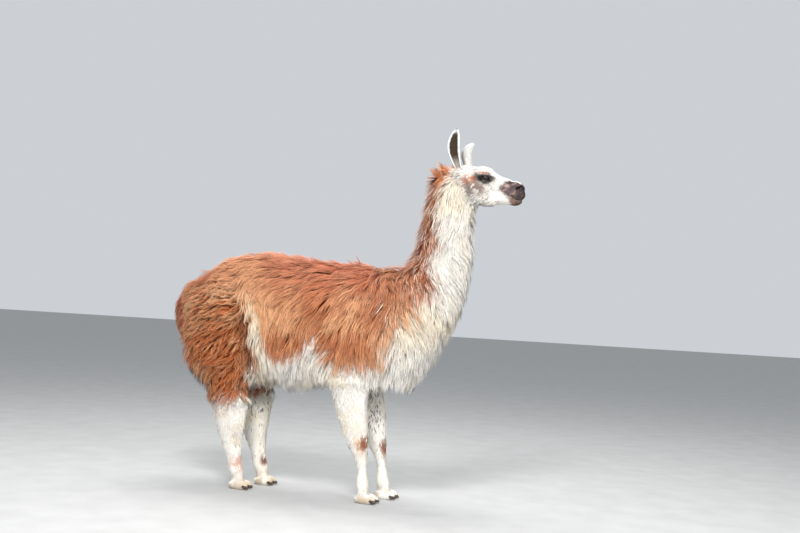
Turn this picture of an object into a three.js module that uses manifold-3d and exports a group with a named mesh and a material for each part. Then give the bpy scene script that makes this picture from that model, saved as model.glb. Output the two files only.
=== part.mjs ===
// A standing llama, life size, as one closed solid for each part of the body.
// Millimetres, +Z up, nose towards +X, the animal's right side towards -Y.
// The body is one smooth field of rounded forms, which is meshed and parted by thin plane cuts.
import * as THREE from "three";
import { mergeVertices } from "three/addons/utils/BufferGeometryUtils.js";
import Module from "manifold-3d";

const wasm = await Module();
wasm.setup();

// ---------------------------------------------------------------- driving dimensions
const withersHeight = 1142; // floor to the wool at the withers
const croupHeight = 1180; // floor to the wool at the croup
const bellyHeight = 524; // floor to the lowest wool of the belly
const rumpX = -690; // rearmost wool of the rump, ahead of the tail
const neckFrontX = 807; // foremost wool of the neck
const crownHeight = 1616; // floor to the crown, between the ears
const noseX = 1027; // foremost point of the upper lip
const foreStance = 88; // feet left and right of the middle
const hindStance = 96;
const leftForeStep = 34; // how far the left foot stands ahead of the right one
const leftHindStep = 40;
const earLength = 203; // from inside the crown to the tip
const eyeRadius = 20;
const cutGap = 0.5; // between two neighbouring parts

// ---------------------------------------------------------------- small helpers
const clamp = THREE.MathUtils.clamp;
const lerp = THREE.MathUtils.lerp;
const vec = (x, y, z) => new THREE.Vector3(x, y, z);

// Smooth union and smooth cut of two distances; `soft` is the width of the blend.
function join(a, b, soft) {
  const h = Math.max(soft - Math.abs(a - b), 0) / soft;
  return Math.min(a, b) - (h * h * soft) / 4;
}
const carve = (a, b, soft) => -join(-a, b, soft);

// A table's row at `t`, eased between the stations on its two sides.
function rowAt(rows, t) {
  const last = rows.length - 1;
  if (t <= rows[0][0]) return rows[0];
  if (t >= rows[last][0]) return rows[last];
  const i = rows.findIndex((row) => row[0] > t) - 1;
  const [a, b, c, d] = [rows[Math.max(i - 1, 0)], rows[i], rows[i + 1], rows[Math.min(i + 2, last)]];
  const span = c[0] - b[0];
  const u = (t - b[0]) / span;
  return b.map((value, k) => {
    const slopeIn = ((c[k] - a[k]) / (c[0] - a[0])) * span;
    const slopeOut = ((d[k] - b[k]) / (d[0] - b[0])) * span;
    return (
      value * (2 * u ** 3 - 3 * u ** 2 + 1) +
      slopeIn * (u ** 3 - 2 * u ** 2 + u) +
      c[k] * (3 * u ** 2 - 2 * u ** 3) +
      slopeOut * (u ** 3 - u ** 2)
    );
  });
}

// Distance to an oval outline round a centre, taken along the ray from that centre.
function oval(across, up, halfWidth, halfHeight, squareness) {
  const reach = Math.hypot(across, up);
  if (reach < 1e-6) return -Math.min(halfWidth, halfHeight);
  const sum = Math.abs(across / halfWidth) ** squareness + Math.abs(up / halfHeight) ** squareness;
  return reach * (1 - sum ** (-1 / squareness));
}

// An oval ball, turned by `pitch` degrees nose down and `yaw` degrees to the left.
function ball(centre, radii, pitch = 0, yaw = 0) {
  const turn = new THREE.Matrix4()
    .makeRotationFromEuler(new THREE.Euler(0, (pitch * Math.PI) / 180, (yaw * Math.PI) / 180, "ZYX"))
    .setPosition(vec(...centre))
    .invert();
  const q = vec(0, 0, 0);
  return (p) => {
    q.copy(p).applyMatrix4(turn);
    const k0 = Math.hypot(q.x / radii[0], q.y / radii[1], q.z / radii[2]);
    const k1 = Math.hypot(q.x / radii[0] ** 2, q.y / radii[1] ** 2, q.z / radii[2] ** 2);
    return k1 < 1e-9 ? -Math.min(...radii) : (k0 * (k0 - 1)) / k1;
  };
}

// The same form on both sides of the middle plane.
function pair(form) {
  const q = vec(0, 0, 0);
  return (p) => form(q.set(p.x, Math.abs(p.y), p.z));
}

// A round bar between two points, tapering from one radius to the other.
function bar(a, b, radiusA, radiusB) {
  const [start, along] = [vec(...a), vec(...b).sub(vec(...a))];
  const q = vec(0, 0, 0);
  return (p) => {
    const u = clamp(q.copy(p).sub(start).dot(along) / along.lengthSq(), 0, 1);
    return q.addScaledVector(along, -u).length() - lerp(radiusA, radiusB, u);
  };
}

// ---------------------------------------------------------------- the forms of the body
// Stations along X: x, top, bottom, half width, measured to the outside of the wool.
const trunkRows = [
  [rumpX, 905, 740, 60],
  [-672, 968, 672, 112],
  [-640, 1018, 632, 150],
  [-565, 1086, 592, 188],
  [-476, 1145, 570, 212],
  [-373, croupHeight - 5, 556, 224],
  [-253, croupHeight, 548, 226],
  [-160, croupHeight - 7, 531, 230],
  [0, 1158, bellyHeight, 236],
  [97, 1150, 528, 236],
  [250, 1150, 545, 230],
  [350, withersHeight, 565, 218],
  [450, 1120, 577, 195],
  [540, 1050, 600, 160],
  [620, 960, 690, 110],
];
const widestShare = 0.45; // where the trunk is widest, as a share of its height
const spanOf = (rows) => [rows[0][0], rows.at(-1)[0]];

function trunk(p) {
  const [from, to] = spanOf(trunkRows);
  const [, top, bottom, halfWidth] = rowAt(trunkRows, clamp(p.x, from, to));
  const middle = lerp(bottom, top, widestShare);
  const up = p.z - middle;
  const upper = () => oval(p.y, up, halfWidth, top - middle, 2.05);
  const lower = () => oval(p.y, up, halfWidth, middle - bottom, 2.5);
  const shape = up > 0 ? upper() : lower();
  return Math.max(shape, from - p.x, p.x - to);
}

// Stations along Z: z, back, front, half width, with the breast's wool under the neck.
const neckRows = [
  [585, 330, 535, 90],
  [640, 320, 588, 128],
  [720, 310, 640, 160],
  [810, 310, 698, 178],
  [914, 330, 752, 176],
  [1000, 365, 778, 160],
  [1070, 410, 792, 144],
  [1130, 452, 802, 130],
  [1200, 486, neckFrontX, 119],
  [1300, 508, neckFrontX, 110],
  [1400, 523, 803, 103],
  [1480, 540, 785, 96],
  [1550, 565, 745, 84],
  [1595, 590, 700, 66],
];

function neck(p) {
  const [low, high] = spanOf(neckRows);
  const [, back, front, halfWidth] = rowAt(neckRows, clamp(p.z, low, high));
  const shape = oval(p.y, p.x - (back + front) / 2, halfWidth, (front - back) / 2, 2.1);
  return Math.max(shape, low - p.z, p.z - high);
}

// A leg's stations along Z: z, back, front, half width, outward shift of its middle.
const foreRows = [
  [48, 306, 372, 33, 0],
  [80, 303, 362, 31, 0],
  [110, 300, 360, 32, 0],
  [160, 298, 356, 28, 0],
  [215, 272, 355, 32, 0],
  [265, 240, 356, 42, 0],
  [320, 212, 353, 48, 2],
  [380, 190, 349, 53, 4],
  [440, 170, 344, 58, 6],
  [500, 152, 338, 64, 8],
  [570, 135, 335, 74, 10],
  [660, 130, 345, 84, 10],
];
const hindRows = [
  [48, -362, -288, 35, 0],
  [80, -374, -296, 35, 0],
  [110, -386, -301, 37, 0],
  [160, -402, -306, 38, 0],
  [215, -428, -307, 43, 0],
  [265, -450, -303, 48, 0],
  [345, -470, -292, 56, 3],
  [415, -493, -280, 66, 8],
  [480, -528, -268, 78, 14],
  [540, -590, -262, 92, 18],
  [600, -650, -256, 100, 20],
  [680, -672, -250, 106, 20],
  [780, -655, -270, 102, 14],
  [900, -610, -320, 80, 0],
];

const fetlockOverlap = 25; // how far the shaft reaches down into the foot

function shaft(rows, side, stance, step) {
  const [low, high] = spanOf(rows);
  return (p) => {
    const [, back, front, halfWidth, outward] = rowAt(rows, clamp(p.z, low, high));
    const fade = clamp(1 - (p.z - low) / (high - low), 0, 1) ** 0.6; // the step fades towards the body
    const middleX = (back + front) / 2 + step * fade;
    const across = p.y - side * (stance + outward);
    const shape = oval(across, p.x - middleX, halfWidth, (front - back) / 2, 2.1);
    return Math.max(shape, low - fetlockOverlap - p.z, p.z - high);
  };
}

// Each foot is two toes on soft pads. The pastern slants down to them from the shaft.
const toeSpread = 19; // each toe's middle, left and right of the foot's
const toeHalf = { length: 58, width: 19.5, height: 26 };
const toeMiddleHeight = 20;
const toeSplay = 5; // degrees
const footOffsets = { fore: 352, hind: -312 }; // the middle of the right foot, along X

function leg(rows, side, stance, step, footX) {
  const upper = shaft(rows, side, stance, step);
  const pastern = bar([footX - 22 + step, side * stance, 92], [footX - 2 + step, side * stance, 42], 31, 27);
  return (p) => join(upper(p), pastern(p), 22);
}

const legForms = {
  leg_front_right: leg(foreRows, -1, foreStance, 0, footOffsets.fore),
  leg_front_left: leg(foreRows, 1, foreStance, leftForeStep, footOffsets.fore),
  leg_hind_right: leg(hindRows, -1, hindStance, 0, footOffsets.hind),
  leg_hind_left: leg(hindRows, 1, hindStance, leftHindStep, footOffsets.hind),
};

// The tail leaves the rump high up and hangs down behind it in a thick brush.
const tailBars = [
  bar([-610, 0, 1035], [-700, 0, 965], 48, 50),
  bar([-700, 0, 965], [-742, 0, 880], 50, 52),
  bar([-742, 0, 880], [-738, 0, 780], 52, 44),
  bar([-738, 0, 780], [-716, 0, 706], 44, 20),
];
const tail = (p) => tailBars.reduce((d, form) => join(d, form(p), 26), 1e3);

// ---------------------------------------------------------------- the head
const skullZ = crownHeight - 68;
const upperForms = [
  [ball([752, 0, skullZ], [92, 66, 68], 8), 0],
  [ball([690, 0, skullZ + 12], [62, 58, 52], -12), 30],
  [ball([828, 0, skullZ + 32], [58, 46, 33], 10), 26], // the forehead's wool
  [pair(ball([829, 44, skullZ + 26], [42, 25, 24], 16, -10)), 20], // the brows
  [ball([866, 0, 1534], [66, 47, 50], 20), 34],
  [pair(ball([808, 34, 1487], [64, 27, 54], 10)), 26], // the cheeks
  [ball([932, 0, 1518], [74, 38, 38], 22), 26],
  [ball([984, 0, 1511], [42, 34, 31], 22), 20],
  [ball([941, 0, 1492], [72, 36, 29], 8), 16],
  [pair(ball([noseX - 29, 17, 1482], [30, 20, 27], 12, -8)), 12], // the upper lip's two halves
  [ball([noseX - 29, 0, 1515], [28, 26, 20], 30), 12],
];
const lowerForms = [
  [bar([800, 0, 1460], [944, 0, 1455], 42, 22), 0],
  [ball([912, 0, 1461], [78, 35, 29], 0), 12],
  [ball([noseX - 46, 0, 1447], [34, 26, 20], -4), 12],
];

// Hollows: the nostrils' slits, the groove of the split lip, and the eyes' hollows.
const hollowForms = [
  [pair(ball([noseX - 11, 21, 1514], [13, 5, 8], 40, 35)), 5],
  [ball([noseX + 3, 0, 1480], [14, 3, 20]), 5],
  [pair(ball([857, 76, 1550], [40, 20, 17], 10, -14)), 16],
];
function blendAll(p, forms) {
  return forms.reduce((d, [form, soft]) => (soft ? join(d, form(p), soft) : form(p)), 0);
}

function head(p) {
  const jawBlend = lerp(26, 10, clamp((p.x - 850) / 80, 0, 1)); // the lips stay apart in front of the cheeks
  const whole = join(blendAll(p, upperForms), blendAll(p, lowerForms), jawBlend);
  return hollowForms.reduce((d, [form, soft]) => carve(d, form(p), soft), whole);
}

// ---------------------------------------------------------------- the whole body as one field
const bodyBlend = 60;
const legBlend = 40;
const throatBlend = 34;
const tailBlend = 14;
const legsPartBelow = 400; // the legs stay apart below this height

function body(p) {
  let d = join(trunk(p), neck(p), bodyBlend);
  for (const form of Object.values(legForms)) d = join(d, form(p), p.z > legsPartBelow ? legBlend : 2);
  d = join(d, tail(p), tailBlend);
  return join(d, head(p), throatBlend);
}

// ---------------------------------------------------------------- meshing a field
// Grid lines from `from` to `to`, whose spacing grows or shrinks evenly from one step to the other.
function gridLines(from, to, firstStep, lastStep = firstStep) {
  const count = Math.max(2, Math.round((2 * (to - from)) / (firstStep + lastStep)));
  const steps = Array.from({ length: count }, (_, i) => lerp(firstStep, lastStep, (i + 0.5) / count));
  const scale = (to - from) / steps.reduce((sum, step) => sum + step, 0);
  return steps.reduce((lines, step) => [...lines, lines.at(-1) + step * scale], [from]);
}

function settle(field, point, reach) {
  const h = 0.5;
  const q = vec(0, 0, 0);
  const start = point.clone();
  for (let step = 0; step < 4; step++) {
    const d = field(point);
    const slope = vec(
      field(q.set(point.x + h, point.y, point.z)) - field(q.set(point.x - h, point.y, point.z)),
      field(q.set(point.x, point.y + h, point.z)) - field(q.set(point.x, point.y - h, point.z)),
      field(q.set(point.x, point.y, point.z + h)) - field(q.set(point.x, point.y, point.z - h)),
    ).divideScalar(2 * h);
    point.addScaledVector(slope, -d / Math.max(slope.lengthSq(), 0.2));
  }
  const move = point.clone().sub(start).clampLength(0, reach);
  return start.add(move);
}

// A cell's corners, the edges between them, and each face's corners in order round it.
const corners = Array.from({ length: 8 }, (_, n) => [n & 1, (n >> 1) & 1, (n >> 2) & 1]);
const edges = corners.flatMap((_, a) => [1, 2, 4].filter((bit) => !(a & bit)).map((bit) => [a, a | bit]));
const faces = [1, 2, 4].flatMap((bit) => {
  const [u, v] = [1, 2, 4].filter((other) => other !== bit);
  return [0, bit].map((on) => [on, on | u, on | u | v, on | v]);
});

function merge(group, a, b) {
  const [kept, gone] = [group[a], group[b]];
  group.forEach((g, n) => {
    if (g === gone) group[n] = kept;
  });
}

// The crossed edges of a cell, grouped into the sheets of surface that pass through it.
function sheetsOf(inside) {
  const group = edges.map((_, n) => n);
  const crossed = edges.map(([a, b]) => inside[a] !== inside[b]);
  for (const face of faces) {
    const ring = face.map((a, n) => {
      const b = face[(n + 1) % 4];
      return edges.findIndex(([from, to]) => from === Math.min(a, b) && to === Math.max(a, b));
    });
    const cut = ring.filter((edge) => crossed[edge]);
    if (cut.length === 2) merge(group, cut[0], cut[1]);
    if (cut.length === 4) face.forEach((a, n) => inside[a] && merge(group, ring[(n + 3) % 4], ring[n]));
  }
  const cutEdges = edges.map((_, edge) => edge).filter((edge) => crossed[edge]);
  const names = [...new Set(cutEdges.map((edge) => group[edge]))];
  return names.map((name) => cutEdges.filter((edge) => group[edge] === name));
}

// One point for each sheet in each cell, and one quad round each grid line that the surface crosses.
function surface(field, xs, ys, zs) {
  const size = [xs.length, ys.length, zs.length];
  const at = (i, j, k) => (i * size[1] + j) * size[2] + k;
  const values = new Float64Array(size[0] * size[1] * size[2]);
  const p = vec(0, 0, 0);
  const onBorder = (i, j, k) =>
    i === 0 || j === 0 || k === 0 || i === size[0] - 1 || j === size[1] - 1 || k === size[2] - 1;
  for (let i = 0; i < size[0]; i++)
    for (let j = 0; j < size[1]; j++)
      for (let k = 0; k < size[2]; k++)
        values[at(i, j, k)] = onBorder(i, j, k) ? 1 : field(p.set(xs[i], ys[j], zs[k]));

  const pointOf = new Map(); // by cell and edge: a cell that two sheets pass through has a point for each
  const points = [];
  for (let i = 0; i < size[0] - 1; i++)
    for (let j = 0; j < size[1] - 1; j++)
      for (let k = 0; k < size[2] - 1; k++) {
        const inside = corners.map(([a, b, c]) => values[at(i + a, j + b, k + c)] < 0);
        if (inside.every((flag) => flag === inside[0])) continue;
        const rim = onBorder(i, j, k) || onBorder(i + 1, j + 1, k + 1);
        const reach = 0.45 * Math.min(xs[i + 1] - xs[i], ys[j + 1] - ys[j], zs[k + 1] - zs[k]);
        for (const sheet of sheetsOf(inside)) {
          const crossings = sheet.map((edge) => {
            const [from, to] = edges[edge].map((n) => corners[n].map((step, a) => [i, j, k][a] + step));
            const [a, b] = [values[at(...from)], values[at(...to)]];
            const [start, end] = [from, to].map(([u, v, w]) => vec(xs[u], ys[v], zs[w]));
            return start.lerp(end, a / (a - b));
          });
          const middle = crossings.reduce((sum, c) => sum.add(c), vec(0, 0, 0)).divideScalar(crossings.length);
          for (const edge of sheet) pointOf.set(at(i, j, k) * 12 + edge, points.length);
          points.push(rim ? middle : settle(field, middle, reach));
        }
      }

  const triangles = [];
  const round = [[0, -1, -1], [0, 0, -1], [0, 0, 0], [0, -1, 0]];
  for (let i = 0; i < size[0] - 1; i++)
    for (let j = 0; j < size[1] - 1; j++)
      for (let k = 0; k < size[2] - 1; k++)
        for (const axis of [0, 1, 2]) {
          const next = [i, j, k];
          next[axis] += 1;
          const [here, there] = [values[at(i, j, k)], values[at(...next)]];
          if (here < 0 === there < 0) continue;
          const ring = round.map((shift) => {
            const turned = [shift[(3 - axis) % 3], shift[(4 - axis) % 3], shift[(5 - axis) % 3]];
            const corner = -turned[0] - 2 * turned[1] - 4 * turned[2];
            const edge = edges.findIndex(([a, b]) => a === corner && b === (corner | (1 << axis)));
            return pointOf.get(at(i + turned[0], j + turned[1], k + turned[2]) * 12 + edge);
          });
          if (here > 0) ring.reverse();
          const [a, b, c, d] = ring;
          const shortWay = points[a].distanceTo(points[c]) < points[b].distanceTo(points[d]);
          if (shortWay) triangles.push(a, b, c, a, c, d);
          else triangles.push(a, b, d, b, c, d);
        }
  const geometry = new THREE.BufferGeometry();
  geometry.setAttribute("position", new THREE.Float32BufferAttribute(points.flatMap((q) => q.toArray()), 3));
  geometry.setIndex(triangles);
  return geometry;
}

// ---------------------------------------------------------------- solids and cuts
function solidOf(geometry) {
  const bare = geometry.clone();
  for (const name of ["normal", "uv"]) bare.deleteAttribute(name);
  const merged = mergeVertices(bare, 1e-3);
  return new wasm.Manifold(
    new wasm.Mesh({
      numProp: 3,
      vertProperties: merged.attributes.position.array,
      triVerts: new Uint32Array(merged.index.array),
    }),
  );
}

// A large block whose one face lies `cutGap` / 2 beyond a plane, on the side that its normal points to.
function sideOf(point, normal) {
  const reach = 4000;
  const up = vec(...normal).normalize();
  const block = new THREE.BoxGeometry(reach, reach, reach).translate(0, 0, reach / 2 + cutGap / 2);
  block.applyQuaternion(new THREE.Quaternion().setFromUnitVectors(vec(0, 0, 1), up));
  return solidOf(block.translate(...point));
}

function meshOf(name, solid, material) {
  const { numProp, numVert, vertProperties, triVerts } = solid.getMesh();
  const places = new Float32Array(numVert * 3);
  for (let i = 0; i < numVert; i++) places.set(vertProperties.subarray(i * numProp, i * numProp + 3), i * 3);
  const geometry = new THREE.BufferGeometry();
  geometry.setAttribute("position", new THREE.BufferAttribute(places, 3));
  geometry.setIndex(new THREE.BufferAttribute(new Uint32Array(triVerts), 1));
  geometry.computeVertexNormals();
  const mesh = new THREE.Mesh(geometry, material);
  mesh.name = name;
  return mesh;
}

// The planes that part the body: a point on each, and the way to the part that it cuts off.
const headCut = { point: [690, 0, 1470], normal: [0.64, 0, 0.77] };
const neckCut = { point: [500, 0, 1040], normal: [0.62, 0, 0.78] };
const foreCut = { point: [0, 0, 486], normal: [0.18, 0, -1] };
const hindCut = { point: [-200, 0, 508], normal: [-0.2, 0, -1] };
const tailCut = { point: [-695, 0, 850], normal: [-1, 0, 0.1] };
const leftSide = { point: [0, 0, 0], normal: [0, 1, 0] };
const rightSide = { point: [0, 0, 0], normal: [0, -1, 0] };
const aboveFloor = { point: [0, 0, -cutGap / 2], normal: [0, 0, 1] };
const beyond = (cut) => sideOf(cut.point, cut.normal);
const before = (cut) => sideOf(cut.point, cut.normal.map((n) => -n));

// The largest body of a solid: a cut can leave crumbs of a neighbouring form behind.
function largest(solid) {
  return solid.decompose().reduce((best, piece) => (piece.volume() > best.volume() ? piece : best));
}
function keep(geometry, ...sides) {
  return largest(sides.reduce((kept, side) => kept.intersect(side), solidOf(geometry)));
}

// ---------------------------------------------------------------- ears, eyes and nails
// An ear is a leaf rolled into a trough: two skins, one inside the other, closed round the rim.
const earThickness = 7;
const earHalfWidth = 28.5;
const earRows = 10;
const earColumns = 7;
const curlFrom = 0.58; // the share of the length above which a curled ear bends outwards

// In radians, `curl` is how far the tip bends outwards.
function earGeometry(curl) {
  const widthAt = (u) => earHalfWidth * Math.sin(Math.PI * (0.116 + 0.859 * u ** 1.8)) ** 0.6;
  const rollAt = (u) => lerp(1.75, 0.7, u); // half the angle that the leaf is rolled through
  const bowAt = (u) => 9 * u ** 4 - 16 * Math.sin(Math.PI * u ** 1.15); // backwards, then forwards at the tip
  const bendRadius = (earLength * (1 - curlFrom)) / Math.max(curl, 1e-3); // so large as to be straight at 0
  const points = [];
  for (const skin of [0, 1])
    for (let i = 0; i <= earRows; i++)
      for (let j = 0; j <= earColumns; j++) {
        const [u, v] = [i / earRows, (2 * j) / earColumns - 1];
        const radius = widthAt(u) / Math.sin(Math.min(rollAt(u), Math.PI / 2));
        const reach = radius - skin * earThickness * (1 - 0.6 * v ** 4) * lerp(1, 0.45, u);
        const turn = v * rollAt(u);
        const depth = radius - reach * Math.cos(turn);
        const bent = (Math.max(u - curlFrom, 0) * earLength) / bendRadius;
        points.push(
          bowAt(u) + reach * Math.sin(turn),
          bendRadius * (1 - Math.cos(bent)) + depth * Math.cos(bent),
          Math.min(u, curlFrom) * earLength + bendRadius * Math.sin(bent) - depth * Math.sin(bent),
        );
      }
  const row = earColumns + 1;
  const inner = (earRows + 1) * row;
  const index = [];
  const quad = (a, b, c, d) => index.push(a, b, c, a, c, d);
  for (let i = 0; i < earRows; i++)
    for (let j = 0; j < earColumns; j++) {
      const a = i * row + j;
      quad(a, a + 1, a + row + 1, a + row);
      quad(inner + a, inner + a + row, inner + a + row + 1, inner + a + 1);
    }
  for (let i = 0; i < earRows; i++) {
    const [a, b] = [i * row, i * row + earColumns];
    quad(a, a + row, inner + a + row, inner + a);
    quad(b, inner + b, inner + b + row, b + row);
  }
  for (let j = 0; j < earColumns; j++) {
    const [a, b] = [j, earRows * row + j];
    quad(a, inner + a, inner + a + 1, a + 1);
    quad(b, b + 1, inner + b + 1, inner + b);
  }
  const geometry = new THREE.BufferGeometry();
  geometry.setAttribute("position", new THREE.Float32BufferAttribute(points, 3));
  geometry.setIndex(index);
  return geometry;
}

// side is -1 on the right, and rootX is where the ear stands. In degrees, `open` turns the trough forwards,
// `lean` tips the ear outwards, `sweep` tips it forwards and `curl` bends its upper half outwards.
function ear({ side, rootX, open, lean, sweep, curl }) {
  const rad = Math.PI / 180;
  const geometry = earGeometry(curl * rad).scale(1, side, 1);
  if (side < 0) geometry.index.array.reverse();
  geometry.rotateZ(-side * open * rad).rotateX(-side * lean * rad).rotateY(sweep * rad);
  return solidOf(geometry.translate(rootX, side * 25, crownHeight - 42));
}

const eyeMiddle = (side) => [848, side * 50, 1550];

// A toe is an oval ball, flat where it meets the floor. Its tip, beyond a slanted plane, is the nail.
function toeGeometry(footX, footY, outward) {
  const splay = (outward * toeSplay * Math.PI) / 180;
  return new THREE.SphereGeometry(1, 8, 5)
    .rotateZ(Math.PI / 2)
    .scale(toeHalf.length, toeHalf.width, toeHalf.height)
    .rotateZ(splay)
    .translate(footX, footY + outward * toeSpread, toeMiddleHeight);
}
const nailLength = 19;
const nailCut = (footX) => {
  return { point: [footX + toeHalf.length - nailLength, 0, toeMiddleHeight], normal: [1, 0, 0.42] };
};

// ---------------------------------------------------------------- materials
function matte(color, roughness = 0.9) {
  return new THREE.MeshStandardMaterial({ color, roughness, metalness: 0 });
}
const rustWool = matte(0xa8603c);
const whiteWool = matte(0xe9e1d3);
const paleHair = matte(0xece6dc, 0.85);
const darkEye = matte(0x120c0a, 0.08);
const nailHorn = matte(0x4a3d33, 0.5);

// ---------------------------------------------------------------- building the parts
const nodes = [];

// Each part's grid along X, Y and Z, in runs of: from, to, first step and last step.
const grids = {
  trunk: [[[-850, 850, 68]], [[-340, 340, 62]], [[370, 1300, 64]]],
  neck: [[[250, 900, 48]], [[-276, 276, 46]], [[560, 1690, 60, 46]]],
  tail: [[[-840, -620, 25]], [[-110, 110, 26]], [[640, 1090, 38]]],
  head: [[[500, 1052, 31, 12.2]], [[-150, 0, 25, 12.8], [0, 150, 12.8, 25]], [[1330, 1660, 15]]],
  leg_front_right: [[[80, 480, 25]], [[-240, 30, 24]], [[-8, 690, 60, 74]]],
  leg_front_left: [[[80, 480, 25]], [[-30, 240, 24]], [[-8, 690, 60, 74]]],
  leg_hind_right: [[[-740, -170, 34]], [[-240, 30, 27]], [[-8, 690, 60, 74]]],
  leg_hind_left: [[[-740, -170, 34]], [[-30, 240, 27]], [[-8, 690, 60, 74]]],
};
const linesOf = (runs) => runs.flatMap((run, i) => gridLines(...run).slice(i ? 1 : 0));
const skinOf = (name) => surface(body, ...grids[name].map(linesOf));

const trunkSides = [neckCut, foreCut, hindCut, tailCut].map(before);
nodes.push(meshOf("trunk", keep(skinOf("trunk"), ...trunkSides), rustWool));
nodes.push(meshOf("neck", keep(skinOf("neck"), beyond(neckCut), before(headCut)), whiteWool));
nodes.push(meshOf("tail", keep(skinOf("tail"), beyond(tailCut)), rustWool));

let headSolid = keep(skinOf("head"), beyond(headCut));
const ears = [
  ear({ side: -1, rootX: 716, open: 16, lean: 9, sweep: -8, curl: 0 }),
  ear({ side: 1, rootX: 750, open: 0, lean: 16, sweep: -11, curl: 66 }),
];
const earCut = { point: [692, 0, crownHeight - 2], normal: [0, 0, 1] };
for (const [i, solid] of ears.entries()) {
  headSolid = headSolid.add(solid.intersect(before(earCut)));
  nodes.push(meshOf(i ? "ear_left" : "ear_right", largest(solid.intersect(beyond(earCut))), paleHair));
}
for (const side of [-1, 1]) {
  const place = (shape) => solidOf(shape.rotateX(Math.PI / 2).translate(...eyeMiddle(side)));
  const globe = (radius) => place(new THREE.SphereGeometry(radius, 12, 8));
  headSolid = headSolid.subtract(globe(eyeRadius + cutGap));
  nodes.push(meshOf(side < 0 ? "eye_right" : "eye_left", globe(eyeRadius), darkEye));
}
nodes.push(meshOf("head", largest(headSolid), paleHair));

for (const name of Object.keys(legForms)) {
  const [side, fore] = [name.endsWith("right") ? -1 : 1, name.includes("front")];
  const step = side > 0 ? (fore ? leftForeStep : leftHindStep) : 0;
  const footX = (fore ? footOffsets.fore : footOffsets.hind) + step;
  const footY = side * (fore ? foreStance : hindStance);
  const sides = [fore ? foreCut : hindCut, side < 0 ? rightSide : leftSide].map(beyond);
  let legSolid = keep(skinOf(name), ...sides);
  for (const outward of [-1, 1]) {
    const place = outward * side > 0 ? "outer" : "inner";
    const toe = solidOf(toeGeometry(footX, footY, outward));
    legSolid = legSolid.add(toe.intersect(before(nailCut(footX))));
    const nail = toe.intersect(beyond(nailCut(footX))).intersect(beyond(aboveFloor));
    nodes.push(meshOf(`nail_${name.slice(4)}_${place}`, largest(nail), nailHorn));
  }
  nodes.push(meshOf(name, largest(legSolid.intersect(beyond(aboveFloor))), whiteWool));
}

// The origin is on the floor, under the middle of the whole animal.
const llama = new THREE.Group();
llama.add(...nodes);
const box = new THREE.Box3().setFromObject(llama);
const middle = box.getCenter(vec(0, 0, 0));
llama.position.set(-middle.x, -middle.y, 0);

export default llama;
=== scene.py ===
import math

import bmesh
import bpy
import numpy as np
from mathutils import Matrix, Vector
from mathutils.bvhtree import BVHTree


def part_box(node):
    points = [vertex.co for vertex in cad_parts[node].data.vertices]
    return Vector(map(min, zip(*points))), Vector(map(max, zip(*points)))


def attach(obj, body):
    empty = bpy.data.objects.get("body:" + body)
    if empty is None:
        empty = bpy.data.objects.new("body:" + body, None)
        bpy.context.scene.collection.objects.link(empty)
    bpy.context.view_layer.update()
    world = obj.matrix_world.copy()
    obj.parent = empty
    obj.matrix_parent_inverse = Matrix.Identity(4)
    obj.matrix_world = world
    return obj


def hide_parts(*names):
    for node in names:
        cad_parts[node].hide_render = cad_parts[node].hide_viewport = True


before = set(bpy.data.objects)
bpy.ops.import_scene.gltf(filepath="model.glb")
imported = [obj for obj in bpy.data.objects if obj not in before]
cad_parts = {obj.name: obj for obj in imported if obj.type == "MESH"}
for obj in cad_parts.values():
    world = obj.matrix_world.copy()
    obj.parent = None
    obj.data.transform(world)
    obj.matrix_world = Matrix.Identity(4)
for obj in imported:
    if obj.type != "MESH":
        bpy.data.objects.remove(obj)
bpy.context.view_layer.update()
print("frame loaded")

# Every place below is in the animal's own frame, in metres: X starts under the withers and points to
# the nose, Y points to its left and Z up. The frame's eye says how far that is from the model's frame.
ownEye = Vector((0.848, -0.050, 1.550))
eyeLow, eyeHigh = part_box("eye_right")
ownShift = (eyeLow + eyeHigh) / 2 - ownEye
fleshNodes = [
    "trunk", "neck", "tail", "head", "leg_front_right", "leg_front_left", "leg_hind_right", "leg_hind_left",
]
earNodes = ["ear_right", "ear_left"]


def smoothStep(low, high, value):
    t = np.clip((value - low) / (high - low), 0, 1)
    return t * t * (3 - 2 * t)


def tone(code):  # a screen colour, written in hex, as linear red, green and blue
    parts = np.array([int(code[i:i + 2], 16) for i in (0, 2, 4)]) / 255
    return np.where(parts <= 0.04045, parts / 12.92, ((parts + 0.055) / 1.055) ** 2.4)


def unit(vectors):
    return vectors / np.maximum(np.linalg.norm(vectors, axis=-1, keepdims=True), 1e-9)


def mixed(a, b, share):
    return a + (b - a) * share[..., None]


class Wobble:  # smooth noise of about -1 to 1, made of waves in many directions
    def __init__(self, seed, waves=26):
        dice = np.random.default_rng(seed)
        self.turns = dice.normal(size=(waves, 3))
        self.phases = dice.uniform(0, 2 * math.pi, waves)

    def at(self, places, size):
        waves = np.sin(places @ self.turns.T * (2.2 / size) + self.phases)
        return waves.sum(1) / math.sqrt(len(self.phases) / 2)


def readAll(rows, key, width=3, kind=float):
    values = np.empty(len(rows) * width, kind)
    rows.foreach_get(key, values)
    return values.reshape(-1, width)


def readPlaces(mesh):
    return readAll(mesh.vertices, "co")


def readNormals(mesh):
    return readAll(mesh.vertex_normals, "vector")


def writePlaces(mesh, places):
    mesh.vertices.foreach_set("co", places.reshape(-1))
    mesh.update()


def objectOf(name, mesh):
    piece = bpy.data.objects.new(name, mesh)
    bpy.context.scene.collection.objects.link(piece)
    return piece


def meshOf(bm, name):
    mesh = bpy.data.meshes.new(name)
    bm.to_mesh(mesh)
    bm.free()
    return mesh


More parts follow.
